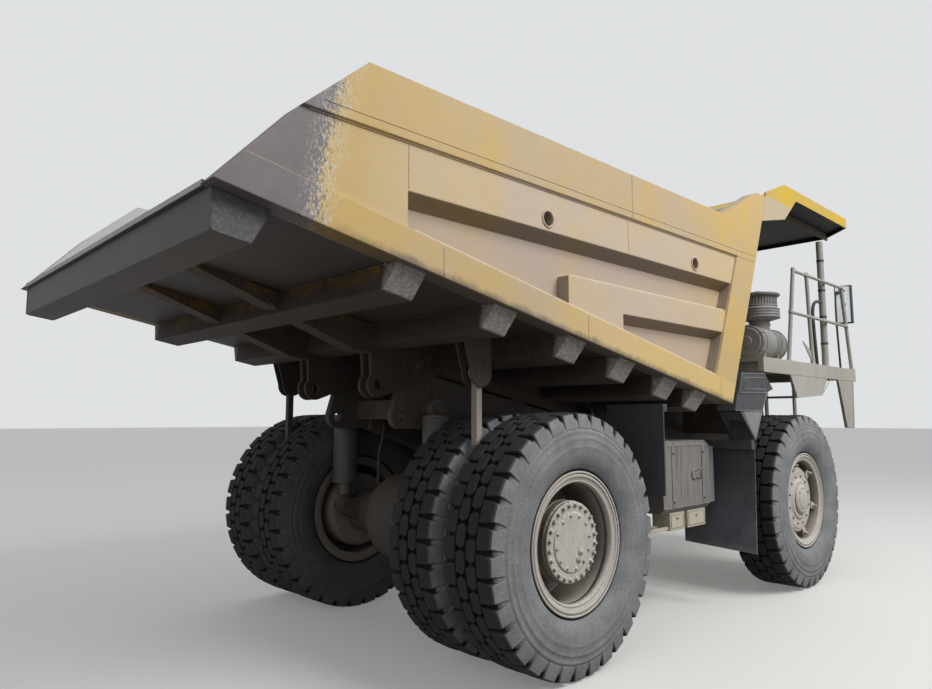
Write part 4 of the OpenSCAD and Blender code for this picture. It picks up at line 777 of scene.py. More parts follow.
def clay_rubber():
    """Worn black rubber: matt, greyed by clay that holds on the sidewalls and thins on the tread."""
    material = empty_material("rubber_moulded_clay")
    tree = material.node_tree
    spot = add(tree, "TexCoord").outputs["Object"]
    where = add(tree, "SeparateXYZ", Vector=spot)
    across = add(tree, "Math", operation="ABSOLUTE", _0=where.outputs["Y"])
    flat = add(tree, "CombineXYZ", X=where.outputs["X"], Z=where.outputs["Z"])
    radius = add(tree, "VectorMath", operation="LENGTH", _0=flat)
    # Scuffs and cuts of 10 to 60 mm
    scuff = add(tree, "TexNoise", Vector=spot, Scale=26.0, Detail=9.0, Roughness=0.72)
    colour = add(tree, "MapRange", _0=scuff, _1=0.35, _2=0.7)
    colour = add(tree, "MixRGB", Fac=colour, Color1="#131314", Color2="#262627")
    # Clay over the sidewalls, broken by patches of about 250 mm and by fine speckle
    outer = add(tree, "MapRange", _0=across, _1=tyre_side - 0.055, _2=tyre_side - 0.018)
    # The ends of the shoulder lugs hold it as well, since they face sideways
    facing = add(tree, "SeparateXYZ", Vector=add(tree, "TexCoord").outputs["Normal"])
    sideways = add(tree, "Math", operation="ABSOLUTE", _0=facing.outputs["Y"])
    sideways = add(tree, "MapRange", _0=sideways, _1=0.35, _2=0.6)
    shoulder_end = add(tree, "MapRange", _0=across, _1=tyre_side - 0.085, _2=tyre_side - 0.060)
    shoulder_end = add(tree, "Math", operation="MULTIPLY", _0=shoulder_end, _1=sideways)
    outer = add(tree, "Math", operation="MAXIMUM", _0=outer, _1=shoulder_end)
    patch = add(tree, "TexNoise", Vector=spot, Scale=4.5, Detail=7.0, Roughness=0.66)
    patch = add(tree, "MapRange", _0=patch, _1=0.3, _2=0.62, _3=0.65, _4=1.0)
    speckle = add(tree, "TexNoise", Vector=spot, Scale=120.0, Detail=6.0, Roughness=0.8)
    speckle = add(tree, "MapRange", _0=speckle, _1=0.38, _2=0.58, _3=0.52, _4=1.0)
    clay = add(tree, "Math", operation="MULTIPLY", _0=patch, _1=speckle)
    clay = add(tree, "Math", operation="MULTIPLY", _0=clay, _1=outer)
    # and less of it on the sides that face the truck's middle, as painted shade: those sides face away from
    # the light
    outward = away_from_middle(tree, facing)
    outward = add(tree, "MapRange", _0=outward, _1=-0.3, _2=0.3, _3=0.4, _4=0.94)
    clay = add(tree, "Math", operation="MULTIPLY", _0=clay, _1=outward)
    colour = add(tree, "MixRGB", Fac=clay, Color1=colour, Color2="#a1a2a2")
    # Thin grey film on the tread's running faces, and painted shade, near black, in the grooves and hollows
    film = add(tree, "MapRange", _0=radius.outputs["Value"], _1=tyre_radius - 0.030,
               _2=tyre_radius - 0.004, _4=0.17)
    film = add(tree, "Math", operation="MULTIPLY", _0=film, _1=patch)
    colour = add(tree, "MixRGB", Fac=film, Color1=colour, Color2="#7d7b76")
    hollow = add(tree, "AmbientOcclusion", samples=4, Distance=0.05)
    hollow = add(tree, "MapRange", _0=hollow.outputs["AO"], _1=0.75, _2=0.3, _4=0.75)
    colour = add(tree, "MixRGB", Fac=hollow, Color1=colour, Color2="#0e0e0e")
    # Painted highlight: thin pale lines along the edges
    rounded = add(tree, "Bevel", samples=4, Radius=0.006)
    flatness = add(tree, "NewGeometry")
    turn = add(tree, "VectorMath", operation="DOT_PRODUCT", _0=rounded, _1=flatness.outputs["Normal"])
    edge = add(tree, "MapRange", _0=turn.outputs["Value"], _1=0.99, _2=0.85, _4=0.30)
    colour = add(tree, "MixRGB", Fac=edge, Color1=colour, Color2="#74736f")
    grit = add(tree, "TexNoise", Vector=spot, Scale=420.0, Detail=3.0)
    relief = add(tree, "Math", operation="MULTIPLY_ADD", _0=scuff, _1=3.0, _2=grit)
    surface = add(tree, "Bump", Strength=0.7, Distance=0.0016, Height=relief, Normal=rounded)
    shader = add(tree, "BsdfPrincipled", Base_Color=colour, Roughness=0.86,
                 Specular_IOR_Level=0.25, Normal=surface)
    add(tree, "OutputMaterial", Surface=shader)
    return material


chance = random.Random(33)
tyre_rubber = clay_rubber()
for node, body, names in (("tyres_rear_right", "wheels_rear_right", ("outer", "inner")),
                          ("tyres_rear_left", "wheels_rear_left", ("inner", "outer"))):
    low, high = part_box(node)
    for which, y in zip(names, (low.y + tyre_side, high.y - tyre_side)):
        parts = rock_tyre("carcass", (rear_axle_x, y, axle_z))
        join(f"{node}_{which}", parts, body, "tyre_rubber", tyre_rubber, node)
for side in ("right", "left"):
    low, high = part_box(f"tyre_front_{side}")
    parts = rock_tyre("carcass", (front_axle_x, (low.y + high.y) / 2, axle_z))
    join(f"tread_front_{side}", parts, f"front_wheel_{side}", "tyre_rubber", tyre_rubber,
         f"tyre_front_{side}")

# Wheels
# Five-piece steel rims with a lock ring, bolted to cast hubs: planetary covers at the rear,
# wedge clamps and a domed cap at the front. Clay has dried over the paint in a pale crust.


def painted_recess_shade(tree, spot, where, facing, colour):
    """Painted shade in dark brown deep between the hub and the rim, and on the wheels' inboard sides."""
    hollow = add(tree, "AmbientOcclusion", samples=8, Distance=0.30)
    deep = add(tree, "MapRange", _0=hollow.outputs["AO"], _1=0.62, _2=0.30, _4=0.85)
    patch = add(tree, "TexNoise", Vector=spot, Scale=16.0, Detail=7.0, Roughness=0.7)
    painted_shade_brown = add(tree, "MixRGB", Fac=patch, Color1="#352a22", Color2="#6b594b")
    # Painted shade: the sides that face the truck's middle are brown all over, being turned from the light
    inward = add(tree, "MapRange", _0=away_from_middle(tree, facing), _1=-0.2, _2=-0.6, _4=0.7)
    deep = add(tree, "Math", operation="MAXIMUM", _0=deep, _1=inward)
    return add(tree, "MixRGB", Fac=deep, Color1=colour, Color2=painted_shade_brown)


wheel_enamel = quarry_enamel("enamel_baked_wheel", "#bdb5ab", "#c9c2b8", "#d3cdc3", "#5c5046",
                             dust_share=0.7, mud_share=0.25, roughness=0.8, mud="#96897c",
                             worn=painted_recess_shade)
finish(wheel_enamel, "wheel_paint", "wheel_rear_left", "wheel_rear_right", "wheel_front_left",
       "wheel_front_right")
lip_profiles = (
    [(0.467, 0.180), (0.467, 0.193), (0.470, 0.1965), (0.479, 0.1965), (0.4835, 0.192), (0.4835, 0.180)],
    [(0.441, 0.180), (0.441, 0.191), (0.444, 0.194), (0.457, 0.194), (0.461, 0.190), (0.461, 0.180)],
    [(0.402, 0.120), (0.402, 0.166), (0.408, 0.176), (0.418, 0.182), (0.420, 0.170), (0.420, 0.120)])
lip_steps, disc_sides = 128, 72
rear_lip_y, rear_cover_y, front_lip_y = 1.555, 1.695, 1.613
# Discs of a hub: how far out each starts, its sections and its sides
rear_discs = ((0, [(0.274, -0.03), (0.274, -0.003), (0.269, 0.002)], disc_sides),
              (0, [(0.201, -0.01), (0.201, 0.006), (0.197, 0.010)], disc_sides),
              (-0.050, [(0.2775, 0), (0.2785, 0.004), (0.2785, 0.018), (0.2775, 0.022)], disc_sides),
              (-0.105, [(0.2770, 0), (0.2800, 0.004), (0.2800, 0.012), (0.2770, 0.016)], disc_sides))
front_discs = ((0.167, [(0.104, 0), (0.098, 0.005), (0.070, 0.012), (0.010, 0.015)], 48),
               (0.112, [(0.300, 0), (0.300, 0.008), (0.296, 0.011)], disc_sides))
# Rings of bolts: how far out, radius, number, size and height of a head, turn
rear_bolts = ((0.002, 0.250, 24, 0.0125, 0.020, 0.5), (0.010, 0.180, 12, 0.008, 0.012, 0.25))
front_bolts = ((0.128, 0.368, 6, 0.019, 0.026, -0.25), (0.121, 0.245, 12, 0.012, 0.018, 0.5),
               (0.168, 0.118, 8, 0.0065, 0.008, 0))
plug_shapes = (([(0.024, 0), (0.024, 0.006), (0.021, 0.009)], 24),
               ([(0.013, 0), (0.013, 0.018), (0.011, 0.020)], 6))


def hub_details(lips, lip_middle, hub, out, discs, bolts, extras):
    """The lip rings of a rim, with the discs, bolts and other turned pieces of its hub."""
    parts = []
    for profile in lips:
        parts.append(turned("lip", [(radius, out.y * y) for radius, y in profile], lip_steps))
        parts[-1].location = lip_middle
    points, faces = [], []
    for depth, sections, sides in discs:
        loft(points, faces, hub + out * depth, out, sections, sides)
    for depth, *ring in bolts:
        bolt_ring(points, faces, hub + out * depth, out, *ring)
    for spot, sections, sides in extras:
        loft(points, faces, spot, out, sections, sides)
    return parts + [piece("hub", points, faces)]


for side, name in ((-1, "right"), (1, "left")):
    out = Vector((0, side, 0))
    # Rear: a cover plate with two rings of bolts and two plugs
    hub = at(0, side * rear_cover_y, axle_z)
    plugs = [hub + out * 0.010 + radius * Vector((math.cos(angle), 0, math.sin(angle)))
             for angle, radius in ((-0.75, 0.105), (-1.15, 0.130))]
    extras = [(spot, *shape) for spot in plugs for shape in plug_shapes]
    lips = at(0, side * rear_lip_y, axle_z)
    parts = hub_details(lip_profiles, lips, hub, out, rear_discs, rear_bolts, extras)
    join(f"hub_details_rear_{name}", parts, f"wheels_rear_{name}", "wheel_paint", wheel_enamel)
    # Front: a nut and the end of its stud on each clamp, bolts round the disc and the cap
    hub = Vector((front_axle_x, side * front_lip_y, axle_z))
    depth, radius, count, *_, turn = front_bolts[0]
    extras = [(spot, [(0.010, 0), (0.010, 0.040), (0.008, 0.043)], 12)
              for spot in circle(hub + out * depth, out, radius, count, turn)]
    parts = hub_details(lip_profiles[:2], hub, hub, out, front_discs, front_bolts, extras)
    join(f"hub_details_front_{name}", parts, f"front_wheel_{name}", "wheel_paint", wheel_enamel)

# Tanks
# Folded steel tanks strapped on the rails: hydraulic oil on the right, with toolboxes hung
# under it, and fuel on the left. Rain and spilt oil run down their painted sides.


def spilt(tree, spot, where, facing, colour):
    """Dark runs of oil down the faces of a tank, and beige boxes below it."""
    # Runs 15 to 40 mm wide, from the top to the bottom
    stretch = add(tree, "Mapping", Vector=spot, Scale=(14.0, 14.0, 0.8))
    run = add(tree, "TexNoise", Vector=stretch, Scale=2.2, Detail=5.0, Roughness=0.65)
    run = add(tree, "MapRange", _0=run, _1=0.50, _2=0.62, _4=0.75)
    high = add(tree, "MapRange", _0=where.outputs["Z"], _1=0.95, _2=1.10)
    run = add(tree, "Math", operation="MULTIPLY", _0=run, _1=high)
    colour = add(tree, "MixRGB", Fac=run, Color1=colour, Color2="#56555a")
    below = add(tree, "MapRange", _0=where.outputs["Z"], _1=0.921, _2=0.919)
    return add(tree, "MixRGB", Fac=below, Color1=colour, Color2="#c6bca6")


tank_enamel = quarry_enamel("enamel_sprayed_tank", "#7c7975", "#8a8680", "#9c968d", "#4c4640",
                            mud_share=0.3, worn=spilt)
finish(tank_enamel, "deck_paint", "hydraulic_tank", "fuel_tank")
tank_face = 1.550
strap_section = ((-0.026, -0.003), (-0.026, 0.005), (0.026, 0.005), (0.026, -0.003))
cover_x, cover_z, latch_x = 1.953, 1.233, 2.02
parts = []
for side in (-1, 1):
    out = Vector((0, side, 0))
    points, faces = [], []
    # Steel straps round the tank, with a bolt in the fold of each
    for x in (1.600, 2.120):
        foot, head = (mirrored(side, *[(x + along, tank_face + proud, z) for along, proud in strap_section])
                      for z in (0.965, 1.485))
        parts.append(sheet(foot, head))
        for z in (1.02, 1.43):
            hex_head(points, faces, at(x, side * (tank_face + 0.004), z), out, 0.011, 0.014)
    # Weld along the folded edges
    parts += [bead(side, [(x, tank_face, z) for x in (1.44, 2.22)], 0.004) for z in (0.962, 1.488)]
    # Filler neck on top, and a round inspection cover with bolts on the face
    loft(points, faces, at(1.62, side * 0.95, 1.525), up,
         [(0.075, 0), (0.075, 0.045), (0.088, 0.047), (0.088, 0.080), (0.078, 0.090)], 36)
    cover = at(cover_x, side * tank_face, cover_z)
    loft(points, faces, cover, out, [(0.052, -0.005), (0.052, 0.008), (0.046, 0.012)], 36)
    bolt_ring(points, faces, cover + out * 0.010, out, 0.036, 6, 0.006, 0.007)
    parts.append(piece("filler", points, faces))
    # Handle of the latch
    handle = [(latch_x, tank_face + proud, z) for proud, z in
              ((-0.002, 1.27), (0.030, 1.27), (0.030, 1.19), (-0.002, 1.19))]
    parts.append(rod(mirrored(side, *handle), 0.006))
join("tank_fittings", parts, "chassis", "deck_paint", tank_enamel)
# Doors of the two toolboxes, each with a frame and a latch


def rectangle(left, right, foot, head):
    """Corners of a rectangle, from two sides and two heights."""
    return [(left, foot), (right, foot), (right, head), (left, head)]


door_y, door_foot, door_head = -1.5305, 0.792, 0.905
parts = []
for x0, x1 in ((1.575, 1.775), (1.870, 2.145)):
    parts.append(hoop([at(x, door_y, z) for x, z in rectangle(x0, x1, door_foot, door_head)], 0.004, 6))
    points, faces = [], []
    loft(points, faces, at((x0 + x1) / 2, door_y + 0.0025, door_head - 0.030), -leftward,
         [(0.016, 0), (0.016, 0.006), (0.008, 0.010), (0.008, 0.018)], 20)
    parts.append(piece("latch", points, faces))
join("toolbox_doors", parts, "chassis", "deck_paint", tank_enamel)

# Flaps
# Reinforced rubber sheets hang behind the front tyres and ahead of the rear ones, bolted to
# steel arms. They are stiff, dark and rubbed pale at the bottom; the boxes above are steel.


def hung_rubber(tree, spot, where, facing, colour):
    """Rubber that pales and goes brown towards the bottom, with a torn light edge."""
    patch = add(tree, "TexNoise", Vector=spot, Scale=5.0, Detail=6.0, Roughness=0.68)
    low = add(tree, "MapRange", _0=where.outputs["Z"], _1=1.25, _2=0.70)
    patch = add(tree, "MapRange", _0=patch, _1=0.25, _2=0.60, _3=0.35)
    low = add(tree, "Math", operation="MULTIPLY", _0=low, _1=patch)
    colour = add(tree, "MixRGB", Fac=low, Color1=colour, Color2="#7d7880")
    hem = add(tree, "MapRange", _0=where.outputs["Z"], _1=0.56, _2=0.49)
    hem = add(tree, "Math", operation="MULTIPLY", _0=hem, _1=patch)
    return add(tree, "MixRGB", Fac=hem, Color1=colour, Color2="#9a938a")


flap_rubber = quarry_enamel("rubber_rolled_flap", "#434447", "#4d4e51", "#68666a", "#6f6e72",
                            dust_share=0.4, mud_share=0.25, roughness=0.85, mud="#5d5a5c",
                            worn=hung_rubber)
finish(flap_rubber, "flap_rubber", "front_mudflaps", "rear_flaps")
flap_x, rear_flap_x, drain_y = 2.600, 1.054, 1.639
points, faces = [], []
for side in (-1, 1):
    # Bolts through the sheets into their arms, and two drain holes with rings
    for k in range(6):
        hex_head(points, faces, at(flap_x - 0.002, side * (1.14 + 0.128 * k), 1.478), -forward, 0.012, 0.014)
    for k in range(5):
        hex_head(points, faces, at(rear_flap_x, side * (1.32 + 0.11 * k), 1.812), forward, 0.012, 0.014)
    for z in (0.683, 0.600):
        loft(points, faces, at(flap_x + 0.0005, side * drain_y, z), -forward,
             [(0.019, -0.004), (0.019, 0.003), (0.012, 0.003), (0.011, 0.001)], 20)
join("flap_bolts", [piece("bolts", points, faces)], "chassis", "flap_rubber", flap_rubber)
# Sheet boxes over the flaps: pale worn edges, and a lighter cheek on the lowest
box_edges = [
    (1.8255, [(-0.302, 1.959), (0.285, 1.975), (0.446, 2.016), (0.269, 2.159), (-0.208, 2.145),
              (-0.302, 1.959)]),
    (1.8255, [(-0.190, 2.000), (0.262, 2.008), (0.360, 2.034), (0.240, 2.120), (-0.150, 2.108),
              (-0.190, 2.000)]),
    (1.8215, [(-0.362, 1.800), (0.198, 1.800), (0.336, 1.988)]),
    (1.8180, [(-0.241, 1.785), (0.034, 1.523), (0.197, 1.799)])]
cheek = [(-0.060, 1.630), (0.033, 1.540), (0.185, 1.797), (-0.200, 1.790)]
cheek_faces_y = (1.8195, 1.8155)
parts, cheeks = [], []
for side in (-1, 1):
    for y, edge in box_edges:
        parts.append(rod(mirrored(side, *[(flap_x + x, y, z) for x, z in edge]), 0.0045, 6))
    front, back = (mirrored(side, *[(flap_x + x, y, z) for x, z in cheek]) for y in cheek_faces_y)
    cheeks.append(sheet(front, back))
worn_sheet = quarry_enamel("steel_folded_box", "#7f7b7c", "#8b8787", "#a39c94", "#58565a",
                           dust_share=0.4)
join("box_edges", parts, "chassis", "flap_rubber", worn_sheet)
join("box_cheeks", cheeks, "chassis", "flap_rubber", worn_sheet)

# Decks
# Plate decks on folded rims, with braced gussets, tube handrails and ladders. Boots polish the
# tread pattern of the plate, and beige dust has bleached the paint to a greyish cream.


def tread_pattern(tree, spot, where, facing, colour):
    """Raised lozenges of the tread plate, polished on top, on what faces up."""
    diagonal = add(tree, "Mapping", Vector=spot, Rotation=(0, 0, math.radians(45)))
    first = add(tree, "TexWave", bands_direction="X", Vector=diagonal, Scale=9.0)
    second = add(tree, "TexWave", bands_direction="Y", Vector=diagonal, Scale=9.0)
    bars = add(tree, "Math", operation="MULTIPLY", _0=first.outputs["Fac"], _1=second.outputs["Fac"])
    bars = add(tree, "MapRange", _0=bars, _1=0.45, _2=0.6)
    upward = add(tree, "MapRange", _0=facing.outputs["Z"], _1=0.8, _2=0.9, _4=0.6)
    bars = add(tree, "Math", operation="MULTIPLY", _0=bars, _1=upward)
    return add(tree, "MixRGB", Fac=bars, Color1=colour, Color2="#77736d")


deck_enamel = quarry_enamel("enamel_sprayed_deck", "#a39d92", "#b0aba2", "#bfb7aa", "#4c4640",
                            dust_share=0.55, mud_share=0.2, worn=tread_pattern)
finish(deck_enamel, "deck_paint", "decks", "ladders")
rail_enamel = quarry_enamel("enamel_sprayed_rail", "#9b9890", "#a8a49b", "#bdb7ab", "#5a554e",
                            mud_share=0.2, roughness=0.5)
finish(rail_enamel, "deck_paint", "handrail_right", "handrail_left")
deck_z, deck_out, rail_y = 2.335, 1.790, 1.755
rail_heights = (3.34, 2.87)
# Where the two rails meet each post, the upper one first
rail_ends = ((3.893, 3.775), (4.262, 4.290), (5.376, 5.470))
parts = []
for side in (-1, 1):
    points, faces = [], []
    # A flange with four bolts at the foot of each post
    for x in (3.660, 4.320, 5.580):
        foot = at(x, side * (rail_y - 0.010), deck_z)
        loft(points, faces, foot - up * 0.002, up, [(0.044, 0), (0.044, 0.009), (0.041, 0.011)], 28)
        bolt_ring(points, faces, foot + up * 0.009, up, 0.033, 4, 0.006, 0.007, 0.5)
    parts.append(piece("feet", points, faces))
    # Balls of weld where the rails meet the posts
    for ends in rail_ends:
        for x, z in zip(ends, rail_heights):
            ball = [(x - 0.004, rail_y, z - 0.021), (x, rail_y, z), (x - 0.004, rail_y, z + 0.021)]
            parts.append(rod(mirrored(side, *ball), 0.0245, 10))
    # Bead along the deck's rim, over the gussets
    parts.append(bead(side, [(x, deck_out - 0.003, 2.188) for x in (2.96, 5.59)]))
    # A plate that braces the middle post
    brace = ((4.075, 2.580), (4.320, 2.475), (4.325, 2.345))
    parts.append(sheet(*(mirrored(side, *[(x, y, z) for x, z in brace]) for y in (1.745, 1.753))))
join("deck_fittings", parts, "chassis", "deck_paint", rail_enamel)
# Seams and ribs on the gussets under the deck's edge
gusset_seams = ((0.006, 0.15, [(4.00, 2.180), (3.742, 1.952)]),
                (0.005, 0.12, [(3.60, 2.178), (3.742, 1.950), (4.450, 1.993), (4.735, 2.178)]),
                (0.005, 0.12, [(4.985, 2.178), (5.212, 1.628), (5.443, 1.623), (5.488, 2.178)]))
parts = [bead(side, [(x, deck_out, z) for x, z in line], radius, ripple)
         for side in (-1, 1) for radius, ripple, line in gusset_seams]
join("gusset_welds", parts, "chassis", "deck_paint", deck_enamel)
# Steel pipe that rises beside the handrail, and bands on the stack
pipe_enamel = quarry_enamel("enamel_brushed_pipe", "#3b3936", "#46433f", "#6a655e", "#211f1c",
                            dust_share=0.4)
bend = [at(x, y, z) for x, y, z in (
    (4.720, -1.660, 2.330), (4.690, -1.660, 2.600), (4.660, -1.660, 2.880), (4.656, -1.661, 2.960),
    (4.668, -1.663, 3.030), (4.700, -1.667, 3.080), (4.745, -1.672, 3.105), (4.800, -1.680, 3.112),
    (4.880, -1.690, 3.112))]
points, faces = [], []
for z in (2.60, 2.92, 3.24, 3.60):
    loft(points, faces, at(4.890, -1.693, z), up,
         [(0.036, 0), (0.0415, 0.003), (0.0415, 0.027), (0.036, 0.030)], 36)
parts = [rod(bend, 0.019, 14), piece("bands", points, faces)]
join("deck_pipes", parts, "chassis", "deck_paint", pipe_enamel)

# Air cleaner and mirrors
# The canister and its precleaner dome are moulded in grey plastic, with clamp bands, a ribbed
# lid and a slotted inlet. The mirrors are plastic shells on bent tubes, with silvered glass.

cleaner_paint = quarry_enamel("plastic_moulded_cleaner", "#7f7e7c", "#8e8c89", "#a8a39b", "#3a3937",
                              dust_share=0.6, mud_share=0.1, roughness=0.55)
finish(cleaner_paint, "cleaner_plastic", "air_cleaner")
mirror_shell = quarry_enamel("plastic_moulded_mirror", "#2d2d2e", "#363637", "#5f5d5a", "#1c1c1c",
                             mud_share=0.1, roughness=0.5)
finish(mirror_shell, "cleaner_plastic", "mirrors")
can_radius, can_middle = 0.170, at(3.560, -1.500, 2.527)
dome = can_middle + up * can_radius
points, faces = [], []
# Clamp bands round the canister, and its lid
band = [(can_radius - 0.004, 0), (can_radius + 0.007, 0.002), (can_radius + 0.007, 0.026),
        (can_radius - 0.004, 0.028)]
for along in (-0.300, -0.215, 0.060, 0.265):
    loft(points, faces, can_middle + forward * along, forward, band, 56)
loft(points, faces, can_middle - forward * 0.308, -forward,
     [(0.150, 0), (0.150, 0.012), (0.140, 0.018), (0.060, 0.022), (0.055, 0.034), (0.020, 0.036)], 48)
# Rings round the dome with a slotted inlet between them, its cap and its neck
dome_rings = ((0.098, 0.213), (0.128, 0.210), (0.158, 0.210), (0.186, 0.211), (0.222, 0.190), (0.345, 0.218))
for z, radius in dome_rings:
    loft(points, faces, dome + up * z, up,
         [(radius - 0.014, 0), (radius, 0.004), (radius, 0.014), (radius - 0.014, 0.018)], 64)
for spot in circle(dome + up * 0.238, up, 0.183, 40):
    loft(points, faces, spot, up, [(0.005, 0), (0.005, 0.092)], 6)
loft(points, faces, dome + up * 0.384, up,
     [(0.058, 0), (0.052, 0.012), (0.030, 0.018), (0.012, 0.020)], 40)
loft(points, faces, dome + up * 0.020, up,
     [(0.104, 0), (0.112, 0.003), (0.112, 0.028), (0.104, 0.031)], 48)
parts = [piece("bands", points, faces)]
# Six over-centre clips that hold the lid
clip = ((-0.322, -0.004), (-0.300, 0.014), (-0.235, 0.012))
loops = [circle(can_middle + forward * along, forward, can_radius + proud, 6, 0.5) for along, proud in clip]
parts += [rod(list(spots), 0.006, 6) for spots in zip(*loops)]
join("cleaner_fittings", parts, "chassis", "cleaner_plastic", cleaner_paint)
silver = empty_material("glass_silvered_mirror")
tree = silver.node_tree
# Half of the mirror shows only a pale film: dust, with a painted reflection of the bright sky in it
clean = add(tree, "BsdfPrincipled", Base_Color="#c3c9cc", Metallic=1.0, Roughness=0.06)
dusty = add(tree, "BsdfPrincipled", Base_Color="#d5dade", Roughness=0.6)
both = add(tree, "MixShader", _0=0.5, _1=clean, _2=dusty)
add(tree, "OutputMaterial", Surface=both)
mirror_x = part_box("mirrors")[0].x - rear_axle_x + 0.060
# Turned 20 degrees outward from its shell, as a driver on the left sets it
slant = math.tan(math.radians(20))


def swung(outer_y, y, gap):
    """How far ahead the turned glass is, from its hinge at the outer edge."""
    return mirror_x - gap - (outer_y - y) * slant


glass_edge = rectangle(1.658, 1.812, 3.375, 2.925)
rim_edge = rectangle(1.655, 1.815, 2.92, 3.38)
arm_bends = ((0.045, 1.700), (0.072, 1.720), (0.072, 1.752), (-0.040, 1.757))
parts = []
for side, name in ((-1, "right"), (1, "left")):
    front = mirrored(side, *[(swung(1.812, y, 0.002), y, z) for y, z in glass_edge])
    back = mirrored(side, *[(mirror_x + 0.001, y, z) for y, z in glass_edge])
    join(f"mirror_glass_{name}", [sheet(front, back)], "chassis", "window_glass", silver)
for side in (-1, 1):
    for z in (2.98, 3.32):
        parts.append(rod(mirrored(side, *[(mirror_x + x, y, z) for x, y in arm_bends]), 0.010, 10))
    parts.append(hoop(mirrored(side, *[(swung(1.815, y, 0.003), y, z) for y, z in rim_edge]), 0.006))
    # Tube from the deck that steadies the mirror's arm
    tube = [(x, 1.705, z) for x, z in ((5.350, 2.330), (5.300, 2.870), (5.300, 3.150), (5.315, 3.240),
                                       (5.360, 3.290), (mirror_x + 0.004, 3.300))]
    parts.append(rod(mirrored(side, *tube), 0.012, 10))
join("mirror_frames", parts, "chassis", "cleaner_plastic", mirror_shell)

# Cab, hood and front
# A welded cab with rubber-sealed windows, a hood of folded sheet, a radiator shell with
# louvres and a bumper of bent plate. They have the yellow enamel of the body, under dust.

cab_enamel = quarry_enamel("enamel_sprayed_cab", "#cba54c", "#bd9f63", "#b0a696", "#4a423a")
finish(cab_enamel, "cab_paint", "cab_shell", "cab_door", "hood", "radiator_grille", "bumper")
cab_moulding = quarry_enamel("plastic_moulded_cab", "#242425", "#2e2e2f", "#4f4d4b", "#1a1a1a",
                             dust_share=0.3, mud_share=0.0, roughness=0.55)
finish(cab_moulding, "cab_plastic", "cab_interior")
pane = empty_material("glass_toughened_pane")
tree = pane.node_tree
spot = add(tree, "TexCoord").outputs["Object"]
film = add(tree, "TexNoise", Vector=spot, Scale=3.5, Detail=7.0, Roughness=0.7)
film = add(tree, "MapRange", _0=film, _1=0.35, _2=0.75, _3=0.05, _4=0.45)
clear = add(tree, "BsdfPrincipled", Base_Color="#c9d6d2", Roughness=0.03, IOR=1.5, Transmission_Weight=1.0)
dusty = add(tree, "BsdfPrincipled", Base_Color="#9a958b", Roughness=0.9)
both = add(tree, "MixShader", _0=film, _1=clear, _2=dusty)
add(tree, "OutputMaterial", Surface=both)
finish(pane, "window_glass", "cab_glass")
cab_low, cab_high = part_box("cab_shell")
door_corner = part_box("cab_door")[1]
sill_z, head_z = deck_z + 0.760, cab_high.z - 0.150
front_x, back_x = cab_high.x - rear_axle_x, cab_low.x - rear_axle_x
rake = 0.130 / (cab_high.z - sill_z)
door_face = door_corner.y - 0.022
window_y = (cab_low.y + 0.122, door_face - 0.105)
# Rubber seals round the panes
parts = []
front_top_x = front_x - rake * (head_z - sill_z)
for foot_x, head_x in ((front_x + 0.001, front_top_x + 0.002), (back_x - 0.001, back_x - 0.001)):
    foot, head = (foot_x, sill_z + 0.002), (head_x, head_z - 0.002)
    corners = zip((foot, foot, head, head), window_y + window_y[::-1])
    parts.append(hoop([at(x, y, z) for (x, z), y in corners], 0.009))
# Wiper on the front window: an arm and a blade
wiper_y = sum(window_y) / 2
foot = at(front_x + 0.006, wiper_y, sill_z - 0.03)
tip = at(front_x - rake * 0.42 + 0.014, wiper_y - 0.20, sill_z + 0.42)
half_blade = Vector((-rake * 0.20, 0.03, 0.20))
parts.append(rod([foot, foot + Vector((0.012, 0, 0.015)), tip], 0.006))
parts.append(rod([tip - half_blade, tip + half_blade], 0.008))
join("window_seals", parts, "chassis", "cab_plastic", cab_moulding)
# Door handle, with the seal and the pane of the door's window
handle_x, handle_z = door_corner.x - rear_axle_x - 0.05, 2.86
grip = [(handle_x, -0.002), (handle_x, 0.016), (handle_x - 0.11, 0.016), (handle_x - 0.11, -0.002)]
parts = [rod([at(x, door_face + proud, handle_z) for x, proud in grip], 0.007)]
opening = 4.270, 4.670, sill_z - 0.200, head_z - 0.030
parts.append(hoop([at(x, door_face, z) for x, z in rectangle(*opening)], 0.008))
join("door_handle", parts, "cab_door", "cab_plastic", cab_moulding)
# The pane reaches 3 mm into its seal
x0, x1, z0, z1 = (place + reach for place, reach in zip(opening, (-0.003, 0.003, -0.003, 0.003)))
front, back = ([at(x, y, z) for x, z in rectangle(x0, x1, z0, z1)]
               for y in (door_face - 0.024, door_face - 0.030))
join("door_glass", [sheet(front, back)], "cab_door", "window_glass", pane)
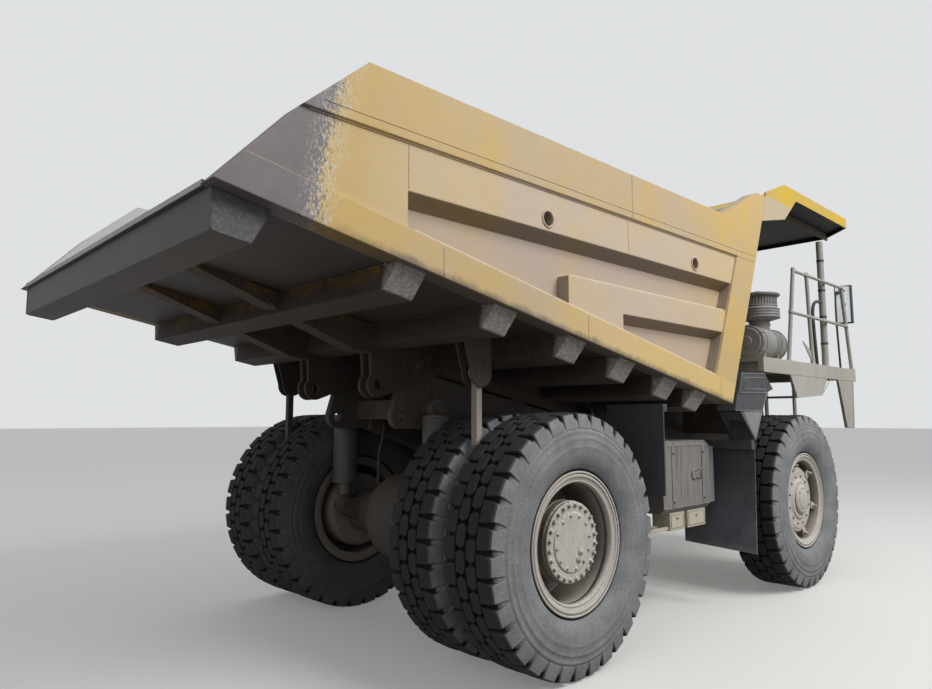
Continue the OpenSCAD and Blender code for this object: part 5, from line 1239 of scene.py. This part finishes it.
# Bolts round the radiator shell and on the bumper, handles on the hood's side, ribs on its top
hood_low, hood_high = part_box("hood")
shell_low, shell_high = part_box("radiator_grille")
shell_x, bumper_x = shell_high.x - rear_axle_x - 0.002, 5.718
shell_bolts, shell_margin = 9, 0.09
pitch = (shell_high.z - shell_low.z - 2 * shell_margin) / (shell_bolts - 1)
points, faces = [], []
for side in (-1, 1):
    for k in range(shell_bolts):
        spot = at(shell_x, side * 0.577, shell_low.z + shell_margin + k * pitch)
        hex_head(points, faces, spot, forward, 0.011, 0.012)
    for y, z in ((y, z) for y in (0.25, 0.48, 1.00) for z in (0.93, 1.08)):
        hex_head(points, faces, at(bumper_x, side * y, z), forward, 0.016, 0.018)
parts = [piece("bolts", points, faces)]
hood_face, hood_handle_z = 0.010, deck_z + 0.10
for x in (4.1, 4.7, 5.2):
    grip = [(x - 0.05, -0.002), (x - 0.05, 0.012), (x + 0.05, 0.012), (x + 0.05, -0.002)]
    parts.append(rod([at(along, hood_face + proud, hood_handle_z) for along, proud in grip], 0.006))
for x in (4.0, 4.55, 5.1):
    ends = (hood_low.y + 0.10, hood_high.y - 0.09)
    parts.append(rod([at(x, y, hood_high.z - 0.002) for y in ends], 0.006, 6))
join("front_fittings", parts, "chassis", "cab_paint", cab_enamel)
# Ribbed glass lenses in steel bezels
lens = empty_material("glass_pressed_lens")
tree = lens.node_tree
spot = add(tree, "TexCoord").outputs["Object"]
ribs = add(tree, "TexWave", bands_direction="Y", Vector=spot, Scale=24.0)
surface = add(tree, "Bump", Strength=0.6, Distance=0.003, Height=ribs.outputs["Fac"])
shader = add(tree, "BsdfPrincipled", Base_Color="#dfe3e2", Roughness=0.08, IOR=1.5, Normal=surface)
add(tree, "OutputMaterial", Surface=shader)
lamp_x, lamp_z, bezel_radius = 5.776, 0.985, 0.077
lens_sections = [(0.072, 0), (0.070, 0.006), (0.048, 0.014), (0.016, 0.017)]
bezels, lenses = [], []
for y in (-0.860, -0.640, 0.640, 0.860):
    points, faces = [], []
    loft(points, faces, at(lamp_x, y, lamp_z), forward, lens_sections, 48)
    lenses.append(piece("lens", points, faces, smooth=True))
    bezels.append(hoop(circle(at(lamp_x + 0.004, y, lamp_z), forward, bezel_radius, 48), 0.007))
join("lamp_lenses", lenses, "chassis", "window_glass", lens)
join("lamp_bezels", bezels, "chassis", "cab_paint", cab_enamel)
